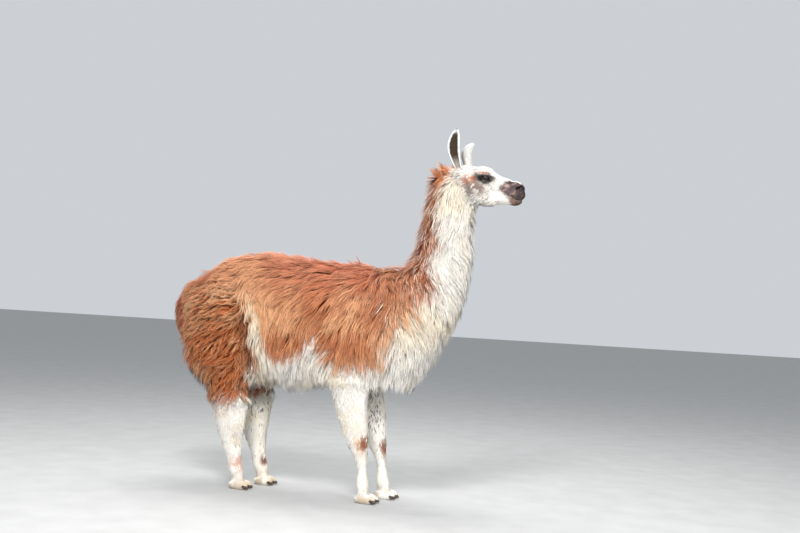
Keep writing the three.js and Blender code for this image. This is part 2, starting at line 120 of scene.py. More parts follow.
def remeshed(mesh, voxel):
    piece = objectOf("forming", mesh)
    step = piece.modifiers.new("voxels", "REMESH")
    step.mode = "VOXEL"
    step.voxel_size = voxel
    bpy.context.view_layer.update()
    result = bpy.data.meshes.new_from_object(piece.evaluated_get(bpy.context.evaluated_depsgraph_get()))
    bpy.data.objects.remove(piece)
    bpy.data.meshes.remove(mesh)
    return result


keepSize = (0.6, -0.61)  # steps in and out again, so that smoothing doesn't shrink a form


def softened(mesh, rounds, share, strengths=(0.5,)):  # share says how much of each step a point makes
    places = readPlaces(mesh)
    a, b = readAll(mesh.edges, "vertices", 2, np.int64).T
    count = np.bincount(np.concatenate([a, b]), minlength=len(places))[:, None]
    for strength in strengths * rounds:
        total = np.stack([
            np.bincount(a, places[b, axis], len(places)) + np.bincount(b, places[a, axis], len(places))
            for axis in range(3)
        ], 1)
        places = places + (total / count - places) * strength * share[:, None]
    writePlaces(mesh, places)


def triangleCorners(mesh):
    mesh.calc_loop_triangles()
    return readAll(mesh.loop_triangles, "vertices", 3, np.int64)


def treeOf(mesh):
    return BVHTree.FromPolygons(readPlaces(mesh).tolist(), triangleCorners(mesh).tolist())


def nearest(tree, places):  # the nearest surface point and its face's normal, for each place
    found = [tree.find_nearest(Vector(place)) for place in places]
    return np.array([hit[0] for hit in found]), np.array([hit[1] for hit in found])


# where each kind of hair grows, from 0 to 1
def faceAhead(places):  # how far a place lies ahead of the line from behind the ears to the throat
    return (places[:, 0] - 0.692) * 0.856 + (places[:, 2] - 1.600) * 0.518


def faceShare(places):
    return smoothStep(-0.022, 0.022, faceAhead(places)) * smoothStep(1.30, 1.36, places[:, 2])


def legShare(places):
    x, z = places[:, 0], places[:, 2]
    fore = smoothStep(0.615, 0.575, z) * smoothStep(0.06, 0.10, x)
    hind = smoothStep(0.50, 0.40, z) * smoothStep(-0.20, -0.24, x)
    return np.maximum(fore, hind) * (1 - tailShare(places))


def tailShare(places):
    x, z = places[:, 0], places[:, 2]
    return smoothStep(-0.685, -0.70, x - 0.1 * (z - 0.85)) * smoothStep(0.66, 0.70, z)


def thighShare(places):
    x, z = places[:, 0], places[:, 2]
    edge = np.interp(z, [0.40, 0.65, 0.90, 1.005, 1.10], [-0.24, -0.225, -0.262, -0.32, -0.42])
    return smoothStep(0.0, 0.03, edge - x) * smoothStep(1.10, 1.00, z) * (1 - tailShare(places))


def chestShare(places):
    x, z = places[:, 0], places[:, 2]
    return smoothStep(0.30, 0.44, x) * smoothStep(1.05, 0.90, z)


def lowerShare(places, normals):  # the parts whose wool hangs free: belly, breast and armpits
    return smoothStep(0.15, -0.55, normals[:, 2]) * (1 - faceShare(places)) * (1 - legShare(places))


coatDepths = {  # from the solids, which end at the hair's tips, in to the skin
    "wool": 0.032, "thighMore": 0.006, "chestMore": 0.008, "tail": 0.026, "leg": 0.0075, "foot": 0.004,
    "face": 0.002,
}


def coatDepth(places):
    more = coatDepths["thighMore"] * thighShare(places) + coatDepths["chestMore"] * chestShare(places)
    depth = coatDepths["wool"] + more
    for part, share in (
        ("tail", tailShare(places)), ("leg", legShare(places)),
        ("foot", smoothStep(0.16, 0.08, places[:, 2])), ("face", faceShare(places)),
    ):
        depth = depth + (coatDepths[part] - depth) * share
    return depth


skinForm = {
    "voxel": 0.0100, "headVoxel": 0.0028,
    "nostrilZone": 0.016, "mouthZone": 0.011, "eyeZone": 0.034,  # how far the finest mesh reaches round each
}
# the head's forms, finer than the frame's
headForms = [  # centre, half sizes, pitch (nose down) and yaw in degrees; mirrored where off the middle
    ((0.752, 0, 1.548), (0.092, 0.066, 0.068), 8, 0),
    ((0.690, 0, 1.560), (0.062, 0.058, 0.052), -12, 0),
    ((0.828, 0, 1.579), (0.058, 0.045, 0.032), 10, 0),
    ((0.829, 0.043, 1.574), (0.043, 0.025, 0.022), 16, -10),  # brow
    ((0.866, 0, 1.534), (0.066, 0.046, 0.050), 20, 0),
    ((0.808, 0.034, 1.487), (0.064, 0.027, 0.054), 10, 0),  # cheek
    ((0.932, 0, 1.518), (0.074, 0.037, 0.038), 22, 0),
    ((0.984, 0, 1.511), (0.042, 0.033, 0.031), 22, 0),
    ((0.941, 0, 1.492), (0.072, 0.035, 0.029), 8, 0),
    ((0.998, 0.017, 1.482), (0.029, 0.018, 0.026), 12, -8),  # one half of the upper lip
    ((0.998, 0, 1.515), (0.028, 0.026, 0.020), 30, 0),
    ((1.005, 0.017, 1.506), (0.018, 0.012, 0.017), 32, -20),  # the nostril's outer wing
    ((0.912, 0, 1.461), (0.078, 0.034, 0.029), 0, 0),
    ((0.850, 0, 1.456), (0.062, 0.040, 0.034), 2, 0),
    ((0.981, 0, 1.447), (0.034, 0.025, 0.019), -4, 0),  # lower lip
    ((0.948, 0, 1.451), (0.040, 0.024, 0.020), 0, 0),
    ((0.640, 0, 1.520), (0.070, 0.055, 0.070), 30, 0),
    ((0.700, 0, 1.480), (0.110, 0.060, 0.060), -20, 0),
]


def headSculpt():
    bm = bmesh.new()
    for centre, half, pitch, yaw in headForms:
        for side in ((1, -1) if centre[1] else (1,)):
            place = Matrix.Translation((centre[0], centre[1] * side, centre[2]))
            turn = Matrix.Rotation(math.radians(yaw * side), 4, "Z")
            turn = turn @ Matrix.Rotation(math.radians(pitch), 4, "Y")
            bmesh.ops.create_uvsphere(
                bm, u_segments=40, v_segments=24, radius=1, matrix=place @ turn @ Matrix.Diagonal((*half, 1)))
    mesh = remeshed(meshOf(bm, "head forms"), skinForm["headVoxel"])
    softened(mesh, 2, np.ones(len(mesh.vertices)), keepSize)
    melt = smoothStep(1.00, 0.92, readPlaces(mesh)[:, 0])  # the lips keep their edges
    softened(mesh, 26, 0.25 + 0.75 * melt)
    return mesh


# eyes and lids
eyes = {
    "radius": 0.0200,
    "lid": 0.0024,  # thickness of the lids over the ball
    "halfLength": 0.0190,  # of the opening
    "upper": 0.0080,  # the opening's height above and below its corners
    "lower": 0.0064,
    "reach": 0.040,  # how far round the eye the skin follows the ball
    "around": 0.040,  # how far from the eye's middle its lids are looked for
    "zone": 0.055,  # how far from its middle, and how far behind it, the skin may be moved
    "behind": 0.012,
    "cover": 0.97,  # the lids lie on the ball out to this share of their radius
    "rim": (0.0012, 0.0016, 0.0016),  # height, distance from the opening, and width
    "fold": (-0.0014, 0.0075, 0.0012),  # the crease over the upper lid
    "sink": 0.004,  # how far inside the ball the skin lies within the opening
}


def eyeFrame(side):  # the eye's middle, and its ways out, ahead and up
    middle = Vector((ownEye.x, -ownEye.y * side, ownEye.z))
    out = Vector((0.26, side * 0.96, 0.06)).normalized()
    ahead = Vector((math.cos(math.radians(16)), 0, -math.sin(math.radians(16))))
    ahead = (ahead - out * ahead.dot(out)).normalized()
    up = out.cross(ahead) * -side
    if up.z < 0:
        up = -up
    return middle, out, ahead, up


def openingDepth(a, b):  # how deep a place lies inside the almond opening; a runs ahead, b up
    width = np.clip(1 - (a / eyes["halfLength"]) ** 2, 0, 1)
    top = eyes["upper"] * width ** 0.8
    bottom = -eyes["lower"] * width ** 0.9
    inside = np.minimum(top - b, b - bottom)
    return np.where(np.abs(a) < eyes["halfLength"], inside, -(np.abs(a) - eyes["halfLength"]) - np.abs(b))


def lidDepth(places, side):  # the same in front of the eyeball, and far outside the opening elsewhere
    middle, out, ahead, up = (np.array(v) for v in eyeFrame(side))
    offset = places - middle
    onLid = (offset @ out > 0) & (np.linalg.norm(offset, axis=1) < eyes["around"])
    return np.where(onLid, openingDepth(offset @ ahead, offset @ up), -9.0)


def setLids(places):
    for side in (-1, 1):
        middle, out, ahead, up = (np.array(v) for v in eyeFrame(side))
        offset = places - middle
        a, b, c = offset @ ahead, offset @ up, offset @ out
        near = (np.linalg.norm(offset, axis=1) < eyes["zone"]) & (c > -eyes["behind"])
        spread = np.hypot(a / eyes["reach"], b / (eyes["reach"] * 0.78))
        share = np.where(near, 1 - smoothStep(0.50, 1.0, spread), 0)
        lidRadius = eyes["radius"] + eyes["lid"]
        covered = lidRadius * eyes["cover"]
        flat = np.minimum(np.hypot(a, b), covered)
        onBall = np.sqrt(lidRadius ** 2 - flat ** 2)
        depth = openingDepth(a, b)
        rim, fold = (
            height * np.exp(-((depth + away) / width) ** 2)
            for height, away, width in (eyes["rim"], eyes["fold"])
        )
        sink = (eyes["lid"] + eyes["sink"]) * smoothStep(-0.0003, 0.0011, depth)
        target = onBall + rim + fold * (b > 0) - sink
        inFront = np.where(np.hypot(a, b) < covered, target, c)
        places = places + np.outer((inFront - c) * share, out)
    return places


# folds of the muzzle
muzzle = {
    "nostril": ((1.0185, 0.0205, 1.5170), (0.9965, 0.0300, 1.5055)),  # its upper front and lower rear end
    "mouth": ((1.026, 0.000, 1.4500), (1.012, 0.021, 1.4510), (0.985, 0.030, 1.4580), (0.960, 0.0335, 1.4665),
              (0.934, 0.0350, 1.4765)),
    "cleft": ((1.027, 0, 1.508), (1.027, 0, 1.462)),
    "corner": ((0.940, 0.034, 1.466), (0.950, 0.031, 1.450)),
    "folds": (  # the line, how far from it, the fold's width, and its height: down in a crease, up at its rim
        ("nostril", 0, 0.0048, -0.0100), ("nostril", 0.0075, 0.0032, 0.0022),
        ("mouth", 0, 0.0024, -0.0062), ("mouth", 0.0062, 0.0030, 0.0016),
        ("cleft", 0, 0.0022, -0.0042), ("corner", 0, 0.0026, -0.0025),
    ),
}


def distanceTo(places, line):  # to the nearest point of a line of straight runs
    best = np.full(len(places), 9.0)
    for start, end in zip(line[:-1], line[1:]):
        start, run = np.array(start), np.array(end) - np.array(start)
        t = np.clip((places - start) @ run / (run @ run), 0, 1)
        best = np.minimum(best, np.linalg.norm(places - start - t[:, None] * run, axis=1))
    return best


def bothSides(places):  # mirrors the left half onto the right one, for a form that is the same on both
    return np.stack([places[:, 0], np.abs(places[:, 1]), places[:, 2]], 1)


def foldMuzzle(places, normals):
    half = bothSides(places)
    front = smoothStep(1.000, 1.015, half[:, 0])
    push = np.zeros(len(places))
    for line, away, width, height in muzzle["folds"]:
        fold = height * np.exp(-((distanceTo(half, muzzle[line]) - away) / width) ** 2)
        push += fold * (front if line == "cleft" else 1)
    return places + normals * push[:, None]


# ears and toes, as parts of the skin
ears = {"height": 1.574, "length": 0.203, "halfWidth": 0.027, "thickness": 0.0042, "curlFrom": 0.58,
        "rows": 44, "columns": 26}
earLayers = ("earAlong", "earAcross", "earSide")  # each point's place on its ear, for its colour
earPoses = {  # where each ear stands, and by how many degrees it opens, leans out, sweeps forwards and curls
    -1: {"rootX": 0.716, "open": 16, "lean": 9, "sweep": -8, "curl": 0},
    1: {"rootX": 0.750, "open": 0, "lean": 16, "sweep": -11, "curl": 66},
}


def earPlaces(along, across, side, lift=0.0):  # the ear's outer skin, at shares of its length and of its roll
    pose = {key: value if key == "rootX" else math.radians(value) for key, value in earPoses[side].items()}
    width = ears["halfWidth"] * np.sin(math.pi * (0.116 + 0.859 * np.minimum(along, 1) ** 1.8)) ** 0.6
    roll = 1.75 + (0.7 - 1.75) * along
    bow = 0.009 * along ** 4 - 0.016 * np.sin(math.pi * np.minimum(along, 1) ** 1.15)
    radius = width / np.sin(np.minimum(roll, math.pi / 2))
    turn = across * roll
    reach = radius + lift
    depth = radius - reach * np.cos(turn)
    bendRadius = ears["length"] * (1 - ears["curlFrom"]) / max(pose["curl"], 1e-3)
    bent = np.maximum(along - ears["curlFrom"], 0) * ears["length"] / bendRadius
    local = np.stack([
        bow + reach * np.sin(turn),
        (bendRadius * (1 - np.cos(bent)) + depth * np.cos(bent)) * side,
        np.minimum(along, ears["curlFrom"]) * ears["length"] + (bendRadius - depth) * np.sin(bent),
    ], 1)
    matrix = (
        Matrix.Rotation(pose["sweep"], 3, "Y")
        @ Matrix.Rotation(-side * pose["lean"], 3, "X")
        @ Matrix.Rotation(-side * pose["open"], 3, "Z")
    )
    return local @ np.array(matrix).T + np.array((pose["rootX"], 0.025 * side, ears["height"]))


def addEar(bm, side):
    layers = [bm.verts.layers.float[name] for name in earLayers]
    before = set(bm.verts)
    bmesh.ops.create_grid(bm, x_segments=ears["rows"], y_segments=ears["columns"], size=1)
    verts = [v for v in bm.verts if v not in before]
    grid = np.array([v.co for v in verts])
    along, across = (grid[:, 0] + 1) / 2, grid[:, 1]
    for vert, place, shares in zip(verts, earPlaces(along, across, side), zip(along, across)):
        vert.co = place
        for layer, value in zip(layers, (*shares, side)):
            vert[layer] = value
    faces = list({face for v in verts for face in v.link_faces})
    bmesh.ops.recalc_face_normals(bm, faces=faces)
    middle = min(faces, key=lambda face: abs(face.verts[0][layers[0]] - 0.5) + abs(face.verts[0][layers[1]]))
    outer = Vector(earPlaces(np.array([0.5]), np.array([0.0]), side, 0.02)[0])
    if middle.normal.dot(outer - middle.calc_center_median()) < 0:
        bmesh.ops.reverse_faces(bm, faces=faces)
    bmesh.ops.solidify(bm, geom=faces, thickness=ears["thickness"])


toes = {
    "half": (0.055, 0.0185, 0.0245), "height": 0.0205, "lowest": 0.0004,  # of the middle and of the sole
    "spread": 0.019, "splay": 5,
}
feet = {  # the middle of each foot
    "front_right": (0.352, -0.088), "front_left": (0.386, 0.088),
    "hind_right": (-0.312, -0.096), "hind_left": (-0.272, 0.096),
}


def addToes(bm):
    for x, y in feet.values():
        for outward in (-1, 1):
            place = Matrix.Translation((x, y + outward * toes["spread"], toes["height"]))
            turn = Matrix.Rotation(math.radians(outward * toes["splay"]), 4, "Z")
            made = bmesh.ops.create_uvsphere(
                bm, u_segments=32, v_segments=20, radius=1,
                matrix=place @ turn @ Matrix.Rotation(math.pi / 2, 4, "Y") @ Matrix.Diagonal(
                    (toes["half"][2], toes["half"][1], toes["half"][0], 1)))
            for vert in made["verts"]:
                vert.co.z = max(vert.co.z, toes["lowest"])


# one skin over the whole body
def subdivided(mesh, chosen):
    bm = bmesh.new()
    bm.from_mesh(mesh)
    bm.verts.ensure_lookup_table()
    edges = [edge for edge in bm.edges if chosen[edge.verts[0].index] and chosen[edge.verts[1].index]]
    bmesh.ops.subdivide_edges(bm, edges=edges, cuts=1, use_grid_fill=True, smooth=0)
    bpy.data.meshes.remove(mesh)
    return meshOf(bm, "skin")


def bodyForm():  # the flesh as one closed form, smoothed and taken in by the coat's depth
    bm = bmesh.new()
    for name in fleshNodes:
        bm.from_mesh(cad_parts[name].data)
    bmesh.ops.remove_doubles(bm, verts=bm.verts, dist=1e-5)
    bmesh.ops.translate(bm, verts=bm.verts, vec=-ownShift)
    mesh = remeshed(meshOf(bm, "body"), skinForm["voxel"])
    places = readPlaces(mesh)
    slim = np.maximum(legShare(places), faceShare(places))
    softened(mesh, 12, 1 - 0.5 * slim, keepSize)
    softened(mesh, 8, 1 - slim)
    places = readPlaces(mesh)
    depth = coatDepth(places)
    slim = np.maximum(legShare(places), faceShare(places))
    for _ in range(3):  # in steps, so that hollows don't fold
        writePlaces(mesh, readPlaces(mesh) - readNormals(mesh) * depth[:, None] / 3)
        softened(mesh, 4, (1 - slim) * 0.8)
    places = readPlaces(mesh)
    mesh = subdivided(mesh, (faceAhead(places) > -0.05) & (places[:, 2] > 1.36))
    places = readPlaces(mesh)
    softened(mesh, 3, np.maximum(legShare(places), faceShare(places)))
    return mesh


def addHead(mesh):  # draws the face onto the head's forms, twice as fine, and then folds lids and muzzle
    sculpt = headSculpt()
    tree = treeOf(sculpt)
    places = readPlaces(mesh)
    share = smoothStep(-0.034, 0.012, faceAhead(places)) * smoothStep(1.34, 1.40, places[:, 2])
    chosen = np.flatnonzero(share > 0)
    found, _ = nearest(tree, places[chosen])
    places[chosen] = mixed(places[chosen], found, share[chosen])
    writePlaces(mesh, places)
    softened(mesh, 3, smoothStep(0.03, -0.02, faceAhead(places)) * faceZone(places))

    places = readPlaces(mesh)
    mesh = subdivided(mesh, faceAhead(places) * faceZone(places) > 0.03)
    places = readPlaces(mesh)
    chosen = np.flatnonzero((faceAhead(places) > 0.02) & (places[:, 2] > 1.36))
    places[chosen], _ = nearest(tree, places[chosen])
    writePlaces(mesh, places)
    softened(mesh, 2, faceZone(places))
    bpy.data.meshes.remove(sculpt)

    places = readPlaces(mesh)
    near = distanceTo(bothSides(places), muzzle["nostril"]) < skinForm["nostrilZone"]
    near |= distanceTo(bothSides(places), muzzle["mouth"]) < skinForm["mouthZone"]
    for side in (-1, 1):
        near |= np.linalg.norm(places - np.array(eyeFrame(side)[0]), axis=1) < skinForm["eyeZone"]
    mesh = subdivided(mesh, near)
    places = setLids(readPlaces(mesh))
    writePlaces(mesh, places)
    writePlaces(mesh, foldMuzzle(places, readNormals(mesh)))
    return mesh


def faceZone(places):
    return smoothStep(-0.045, -0.030, faceAhead(places)) * smoothStep(1.34, 1.38, places[:, 2])


bodyMesh = addHead(bodyForm())
bodyTree = treeOf(bodyMesh)
print("body skin:", len(bodyMesh.polygons), "faces")

bm = bmesh.new()
bm.from_mesh(bodyMesh)
for name in earLayers:
    bm.verts.layers.float.new(name)
for side in (-1, 1):
    addEar(bm, side)
addToes(bm)
bmesh.ops.triangulate(bm, faces=bm.faces)
skinMesh = meshOf(bm, "skin")
skinMesh.shade_smooth()
print("skin:", len(skinMesh.polygons), "triangles")

# the markings, for skin and coat alike
shades = {name: tone(code) for name, code in {
    "rust": "B9683F", "deepRust": "8A432C", "backRust": "9F4C37", "tan": "E2A678", "paleTan": "F0CDA8",
    "orange": "C9743C", "cream": "EEDFC3", "white": "F1ECE3", "cool": "E9E8E6", "dark": "3A2420",
    "greyBrown": "8F776C", "muzzle": "59484A", "muzzlePale": "A08886", "muzzleDark": "291E1E",
    # footShade is a greyish brown, painted shade on the feet
    "black": "120D0D", "lip": "6E5648", "cheek": "77625A", "footShade": "A88E72", "patch": "8A5232",
    "earInner": "34281D", "earGrey": "8C8480", "thigh": "AE5A2B", "thighDark": "642610",
}.items()}
bellyLine = (  # x, and the height of the white belly's upper edge
    (-0.20, 0.65), (-0.148, 0.705), (-0.03, 0.705), (0.03, 0.722), (0.08, 0.757), (0.115, 0.795),
    (0.145, 0.765), (0.17, 0.695), (0.22, 0.668), (0.33, 0.668), (0.42, 0.690), (0.50, 0.71),
)
chestLine = (  # height, and the x of the white breast's rear edge
    (0.60, 0.40), (0.69, 0.455), (0.78, 0.450), (0.854, 0.485), (0.903, 0.535), (0.986, 0.610),
    (1.085, 0.645), (1.182, 0.625), (1.258, 0.648), (1.361, 0.628), (1.45, 0.640), (1.50, 0.655),
    (1.62, 0.700),
)
foldLine = (  # height, and the x of the pale line in front of the thigh
    (0.60, -0.190), (0.65, -0.185), (0.72, -0.192), (0.81, -0.219), (0.905, -0.250), (0.98, -0.285),
    (1.01, -0.308),
)
foldWidth = (
    (0.60, 0.050), (0.66, 0.046), (0.72, 0.034), (0.81, 0.029), (0.905, 0.025), (0.98, 0.023), (1.01, 0.012),
)
muzzleLine = (  # height, and the x where the face's white ends and the dark muzzle starts
    (1.430, 0.962), (1.466, 0.955), (1.484, 0.930), (1.495, 0.912), (1.507, 0.907), (1.525, 0.925),
    (1.541, 0.942), (1.560, 0.960),
)
legPatches = (  # middle, half sizes, shade and strength
    ((0.332, -0.115, 0.283), (0.046, 0.046, 0.052), "tan", 0.45),
    ((0.352, -0.108, 0.285), (0.036, 0.046, 0.046), "patch", 0.95),
    ((0.384, 0.072, 0.252), (0.032, 0.044, 0.050), "patch", 0.95),
    ((-0.318, -0.120, 0.132), (0.038, 0.036, 0.045), "rust", 0.60),
    ((-0.268, 0.074, 0.130), (0.024, 0.034, 0.032), "thighDark", 0.9),
    ((-0.330, -0.150, 0.270), (0.030, 0.040, 0.045), "patch", 0.35),
)
facePatches = (  # middle, half sizes, shade, strength, softness of the edge, and how unbroken it is
    ((0.778, 0.066, 1.541), (0.034, 0.050, 0.027), "rust", 0.95, 0.45, 1.3),
    ((0.803, 0.060, 1.502), (0.052, 0.060, 0.036), "cheek", 0.95, 0.45, 1.45),
    ((0.797, 0.045, 1.597), (0.016, 0.030, 0.012), "greyBrown", 0.85, 0.40, 1.5),
    ((0.806, 0.060, 1.560), (0.016, 0.040, 0.012), "muzzleDark", 0.70, 0.40, 2.0),
    ((0.849, 0.060, 1.5490), (0.050, 0.060, 0.0195), "muzzleDark", 1.00, 0.30, 3.0),
    ((0.838, 0.052, 1.5735), (0.030, 0.030, 0.0045), "rust", 0.85, 0.40, 3.0),
)
coarse, blotches, fine, freckles = Wobble(11), Wobble(12), Wobble(13), Wobble(14)


def lineAt(line, value):
    line = np.array(sorted(line))
    return np.interp(value, line[:, 0], line[:, 1])


def oval(places, centre, half, soft=0.3):  # 1 inside an oval blotch, fading over its edge
    reach = np.linalg.norm((places - np.array(centre)) / np.array(half), axis=1)
    return smoothStep(1 + soft, 1 - soft, reach)


def layered(colour, *layers):  # each layer is a shade and its share
    for shade, share in layers:
        colour = mixed(colour, shades[shade], share)
    return colour


def brownWool(places):
    x, z = places[:, 0], places[:, 2]
    flat = places * (1, 0, 1)
    big, middle = coarse.at(places, 0.16), blotches.at(places, 0.05)
    flank = oval(flat, (-0.08, 0, 0.95), (0.22, 1, 0.16), 0.6)
    sunned = smoothStep(0.0, 1.3, 0.55 * big + 0.6 * middle + 0.12 + 0.35 * flank)
    lowFlank = smoothStep(0.80, 0.66, z) * smoothStep(0.30, 0.10, np.abs(x - 0.25))
    rust = layered(
        shades["rust"],
        ("tan", sunned),
        ("backRust", smoothStep(0.94, 1.10, z + 0.02 * middle) * 0.85),
        ("tan", 0.5 * lowFlank),
        ("tan", 0.6 * oval(flat, (-0.33, 0, 1.06), (0.16, 1, 0.10), 0.5)),
        ("deepRust", 0.5 * smoothStep(0.6, 1.6, -middle + 0.3 * big)),
    )
    hollow = oval(flat, (-0.425, 0, 0.74), (0.11, 1, 0.13), 0.6) * smoothStep(-0.8, 0.6, big + middle)
    curly = layered(
        shades["thigh"],
        ("tan", smoothStep(-0.1, 1.3, 0.8 * middle + 1.0 * smoothStep(0.80, 0.96, z))),
        ("thighDark", 0.85 * hollow),
        ("thighDark", 0.6 * smoothStep(0.72, 0.5, z) * smoothStep(0.1, 0.9, middle)),
        ("paleTan", 0.40 * smoothStep(0.84, 0.97, z) * smoothStep(-1.4, 0.6, middle)),
    )
    # painted shade: a dark band in the crease just behind the pale line in front of the thigh
    beside = np.abs(x - lineAt(foldLine, z) + lineAt(foldWidth, z) + 0.028)
    creaseShade = smoothStep(0.035, 0.010, beside) * smoothStep(0.92, 0.84, z)
    curly = mixed(curly, shades["thighDark"] * 0.6, 0.85 * creaseShade)
    rust = mixed(rust, curly, thighShare(places) * smoothStep(1.02, 0.95, z))
    crest = smoothStep(0.90, 1.05, z) * smoothStep(0.30, 0.42, x)
    rust = mixed(rust, shades["rust"] * 0.8, crest * 0.7)
    behindChest = smoothStep(-0.13, 0.0, x - lineAt(chestLine, z))
    behindChest = behindChest * smoothStep(0.56, 0.62, z) * smoothStep(1.0, 0.85, z)
    return mixed(rust, shades["paleTan"], 0.55 * behindChest)


def whiteShare(places, normals):  # where the coat is white: belly, breast, legs and the line at the thigh
    x, y, z = places.T
    wobble = 0.012 * blotches.at(places, 0.05) + 0.006 * fine.at(places, 0.02)
    belly = smoothStep(0.014, -0.014, z - lineAt(bellyLine, x) + wobble) * smoothStep(-0.24, -0.20, x)
    chest = smoothStep(-0.030, 0.022, x - lineAt(chestLine, z) + 1.2 * wobble) * smoothStep(0.56, 0.62, z)
    fold = smoothStep(1.3, 0.7, np.abs(x - lineAt(foldLine, z) + 0.4 * wobble) / lineAt(foldWidth, z))
    fold = fold * smoothStep(1.02, 0.98, z) * smoothStep(0.05, 0.12, np.abs(y))
    under = smoothStep(-0.35, -0.75, normals[:, 2]) * smoothStep(-0.62, -0.55, x)
    hindEdge = np.interp(x, (-0.50, -0.40, -0.33, -0.28), (0.40, 0.415, 0.44, 0.49))
    hock = smoothStep(0.02, -0.02, z - hindEdge + 1.5 * wobble) * smoothStep(-0.20, -0.24, x)
    hock = hock * (1 - tailShare(places))
    fore = smoothStep(0.600, 0.575, z) * smoothStep(0.0, 0.1, x)
    inner = smoothStep(0.075, 0.05, np.abs(y)) * smoothStep(0.72, 0.66, z)
    return np.maximum.reduce([belly, chest, fold, under * 0.9, hock, fore, inner])


def faceColour(places, normals):
    x, z = places[:, 0], places[:, 2]
    half = bothSides(places)
    small = fine.at(places, 0.02)
    mottle = 0.6 * small + 0.5 * freckles.at(places, 0.008)
    cool = smoothStep(0.2, 1.2, blotches.at(places, 0.05)) * 0.5
    colour = mixed(shades["white"], shades["cool"], cool) * 0.81  # dull enough not to glare
    for centre, reach, shade, strength, soft, whole in facePatches:
        patch = oval(half, centre, reach, soft) * smoothStep(-whole, 1.3 - whole, mottle)
        colour = mixed(colour, shades[shade], strength * patch)

    ridge = smoothStep(0.020, 0.011, half[:, 1]) * smoothStep(0.25, 0.55, normals[:, 2])
    ridge = ridge * smoothStep(1.017, 1.000, x)
    dark = smoothStep(-0.020, 0.014, x - lineAt(muzzleLine, z) + 0.007 * mottle) * (1 - ridge * 0.95)
    mouthHeight = lineAt([(ahead, height) for ahead, _, height in muzzle["mouth"]], x)
    below = smoothStep(0.001, -0.005, z - mouthHeight) * smoothStep(-1.3, 0.1, mottle)
    nose = mixed(shades["muzzle"], shades["greyBrown"], smoothStep(-0.2, 1.1, mottle))
    nose = layered(
        nose,
        ("muzzlePale", 0.75 * smoothStep(0.5, 1.5, mottle - 26 * (x - 0.94))),
        ("muzzleDark", 0.55 * smoothStep(-0.2, -1.2, mottle)),
        ("muzzleDark", 0.9 * oval(half, (0.960, 0.028, 1.536), (0.024, 0.02, 0.012), 0.4)),
        ("muzzleDark", 0.75 * smoothStep(0.975, 1.005, x + 0.004 * mottle)),
        ("lip", 0.9 * below),
    )
    nose = nose * (1 - 0.25 * smoothStep(0.2, 1.2, -mottle) * smoothStep(1.46, 1.45, z))[:, None]
    return layered(
        mixed(colour, nose, dark),
        ("white", 0.8 * smoothStep(1.444, 1.436, z) * smoothStep(0.980, 0.945, x)),
        ("black", smoothStep(0.0100, 0.0055, distanceTo(half, muzzle["nostril"]))),
        ("black", 0.9 * smoothStep(0.0048, 0.0020, distanceTo(half, muzzle["mouth"]))),
    )


def markings(places, normals):
    x, z = places[:, 0], places[:, 2]
    legs = legShare(places)
    big, middle, small = coarse.at(places, 0.16), blotches.at(places, 0.05), fine.at(places, 0.02)
    nearThigh = smoothStep(0.12, 0.0, np.abs(x + 0.22)) * smoothStep(1.0, 0.8, z)
    white = layered(
        shades["white"],
        ("cream", smoothStep(0.2, 1.5, big + 0.5 * middle) * 0.7),
        ("cream", 0.6 * nearThigh),
        ("paleTan", smoothStep(-0.16, -0.22, x) * smoothStep(0.82, 0.95, z)),
    )
    colour = mixed(brownWool(places), white, whiteShare(places, normals))
    tail = mixed(shades["backRust"], shades["deepRust"], smoothStep(-0.5, 1, middle))
    colour = mixed(colour, tail, tailShare(places))

    colour = mixed(colour, shades["cool"], 0.5 * legs * smoothStep(0.3, 1.2, big))
    for centre, half, shade, strength in legPatches:
        patch = oval(places, centre, half, 0.45) * smoothStep(-1.3, 0.2, middle + small)
        colour = mixed(colour, shades[shade], strength * patch)
    # painted shade: the legs' hair greyer and darker towards the ground, in blotches
    footShadeShare = legs * smoothStep(0.090, 0.020, z) * smoothStep(-1.8, 0.8, middle + small)
    colour = mixed(colour, shades["footShade"], 0.62 * footShadeShare)

    colour = mixed(colour, faceColour(places, normals), faceShare(places))
    nape = oval(bothSides(places), (0.640, 0.0, 1.590), (0.062, 0.090, 0.060), 0.30)
    colour = mixed(colour, shades["orange"], nape * smoothStep(0.715, 0.690, x))
    for side in (-1, 1):  # the bare rims of the lids
        colour = mixed(colour, shades["black"], smoothStep(-0.0065, -0.003, lidDepth(places, side)))
    return colour


# which way the hair lies
trunkLies = (  # x, z, and the lie's angle from straight down, positive towards the tail
    (0.42, 1.12, 8), (0.25, 1.12, 38), (0.05, 1.13, 52), (-0.15, 1.15, 60), (-0.40, 1.17, 64),
    (-0.58, 1.06, 48), (-0.67, 0.90, 14), (0.33, 0.95, 14), (0.18, 0.95, 34), (0.00, 0.95, 42),
    (-0.15, 0.99, 38), (-0.24, 0.98, 10), (-0.285, 0.95, -16), (-0.21, 0.88, 0), (-0.245, 0.86, -18),
    (-0.15, 0.80, 8), (-0.215, 0.76, -16), (-0.195, 0.68, -22), (-0.17, 0.61, -14), (-0.08, 0.84, 24),
    (0.10, 0.78, 30), (0.28, 0.78, 18), (0.38, 0.72, 4), (-0.15, 0.66, 8), (-0.02, 0.64, 38),
    (0.10, 0.60, 44), (0.24, 0.60, 10), (0.50, 0.80, -12), (0.48, 0.64, -4), (0.62, 0.86, -26),
    (0.45, 1.00, -4), (0.60, 1.02, -20), (0.74, 1.02, -34), (0.50, 1.20, 6), (0.64, 1.22, -10),
    (0.78, 1.22, -26), (0.52, 1.38, 10), (0.66, 1.38, -6), (0.78, 1.36, -18), (0.56, 1.52, 24),
    (0.66, 1.50, 0), (0.76, 1.42, -8), (0.64, 1.60, 70), (-0.66, 1.02, 40), (-0.73, 0.93, 22),
    (-0.745, 0.84, 2), (-0.73, 0.74, -10),
)
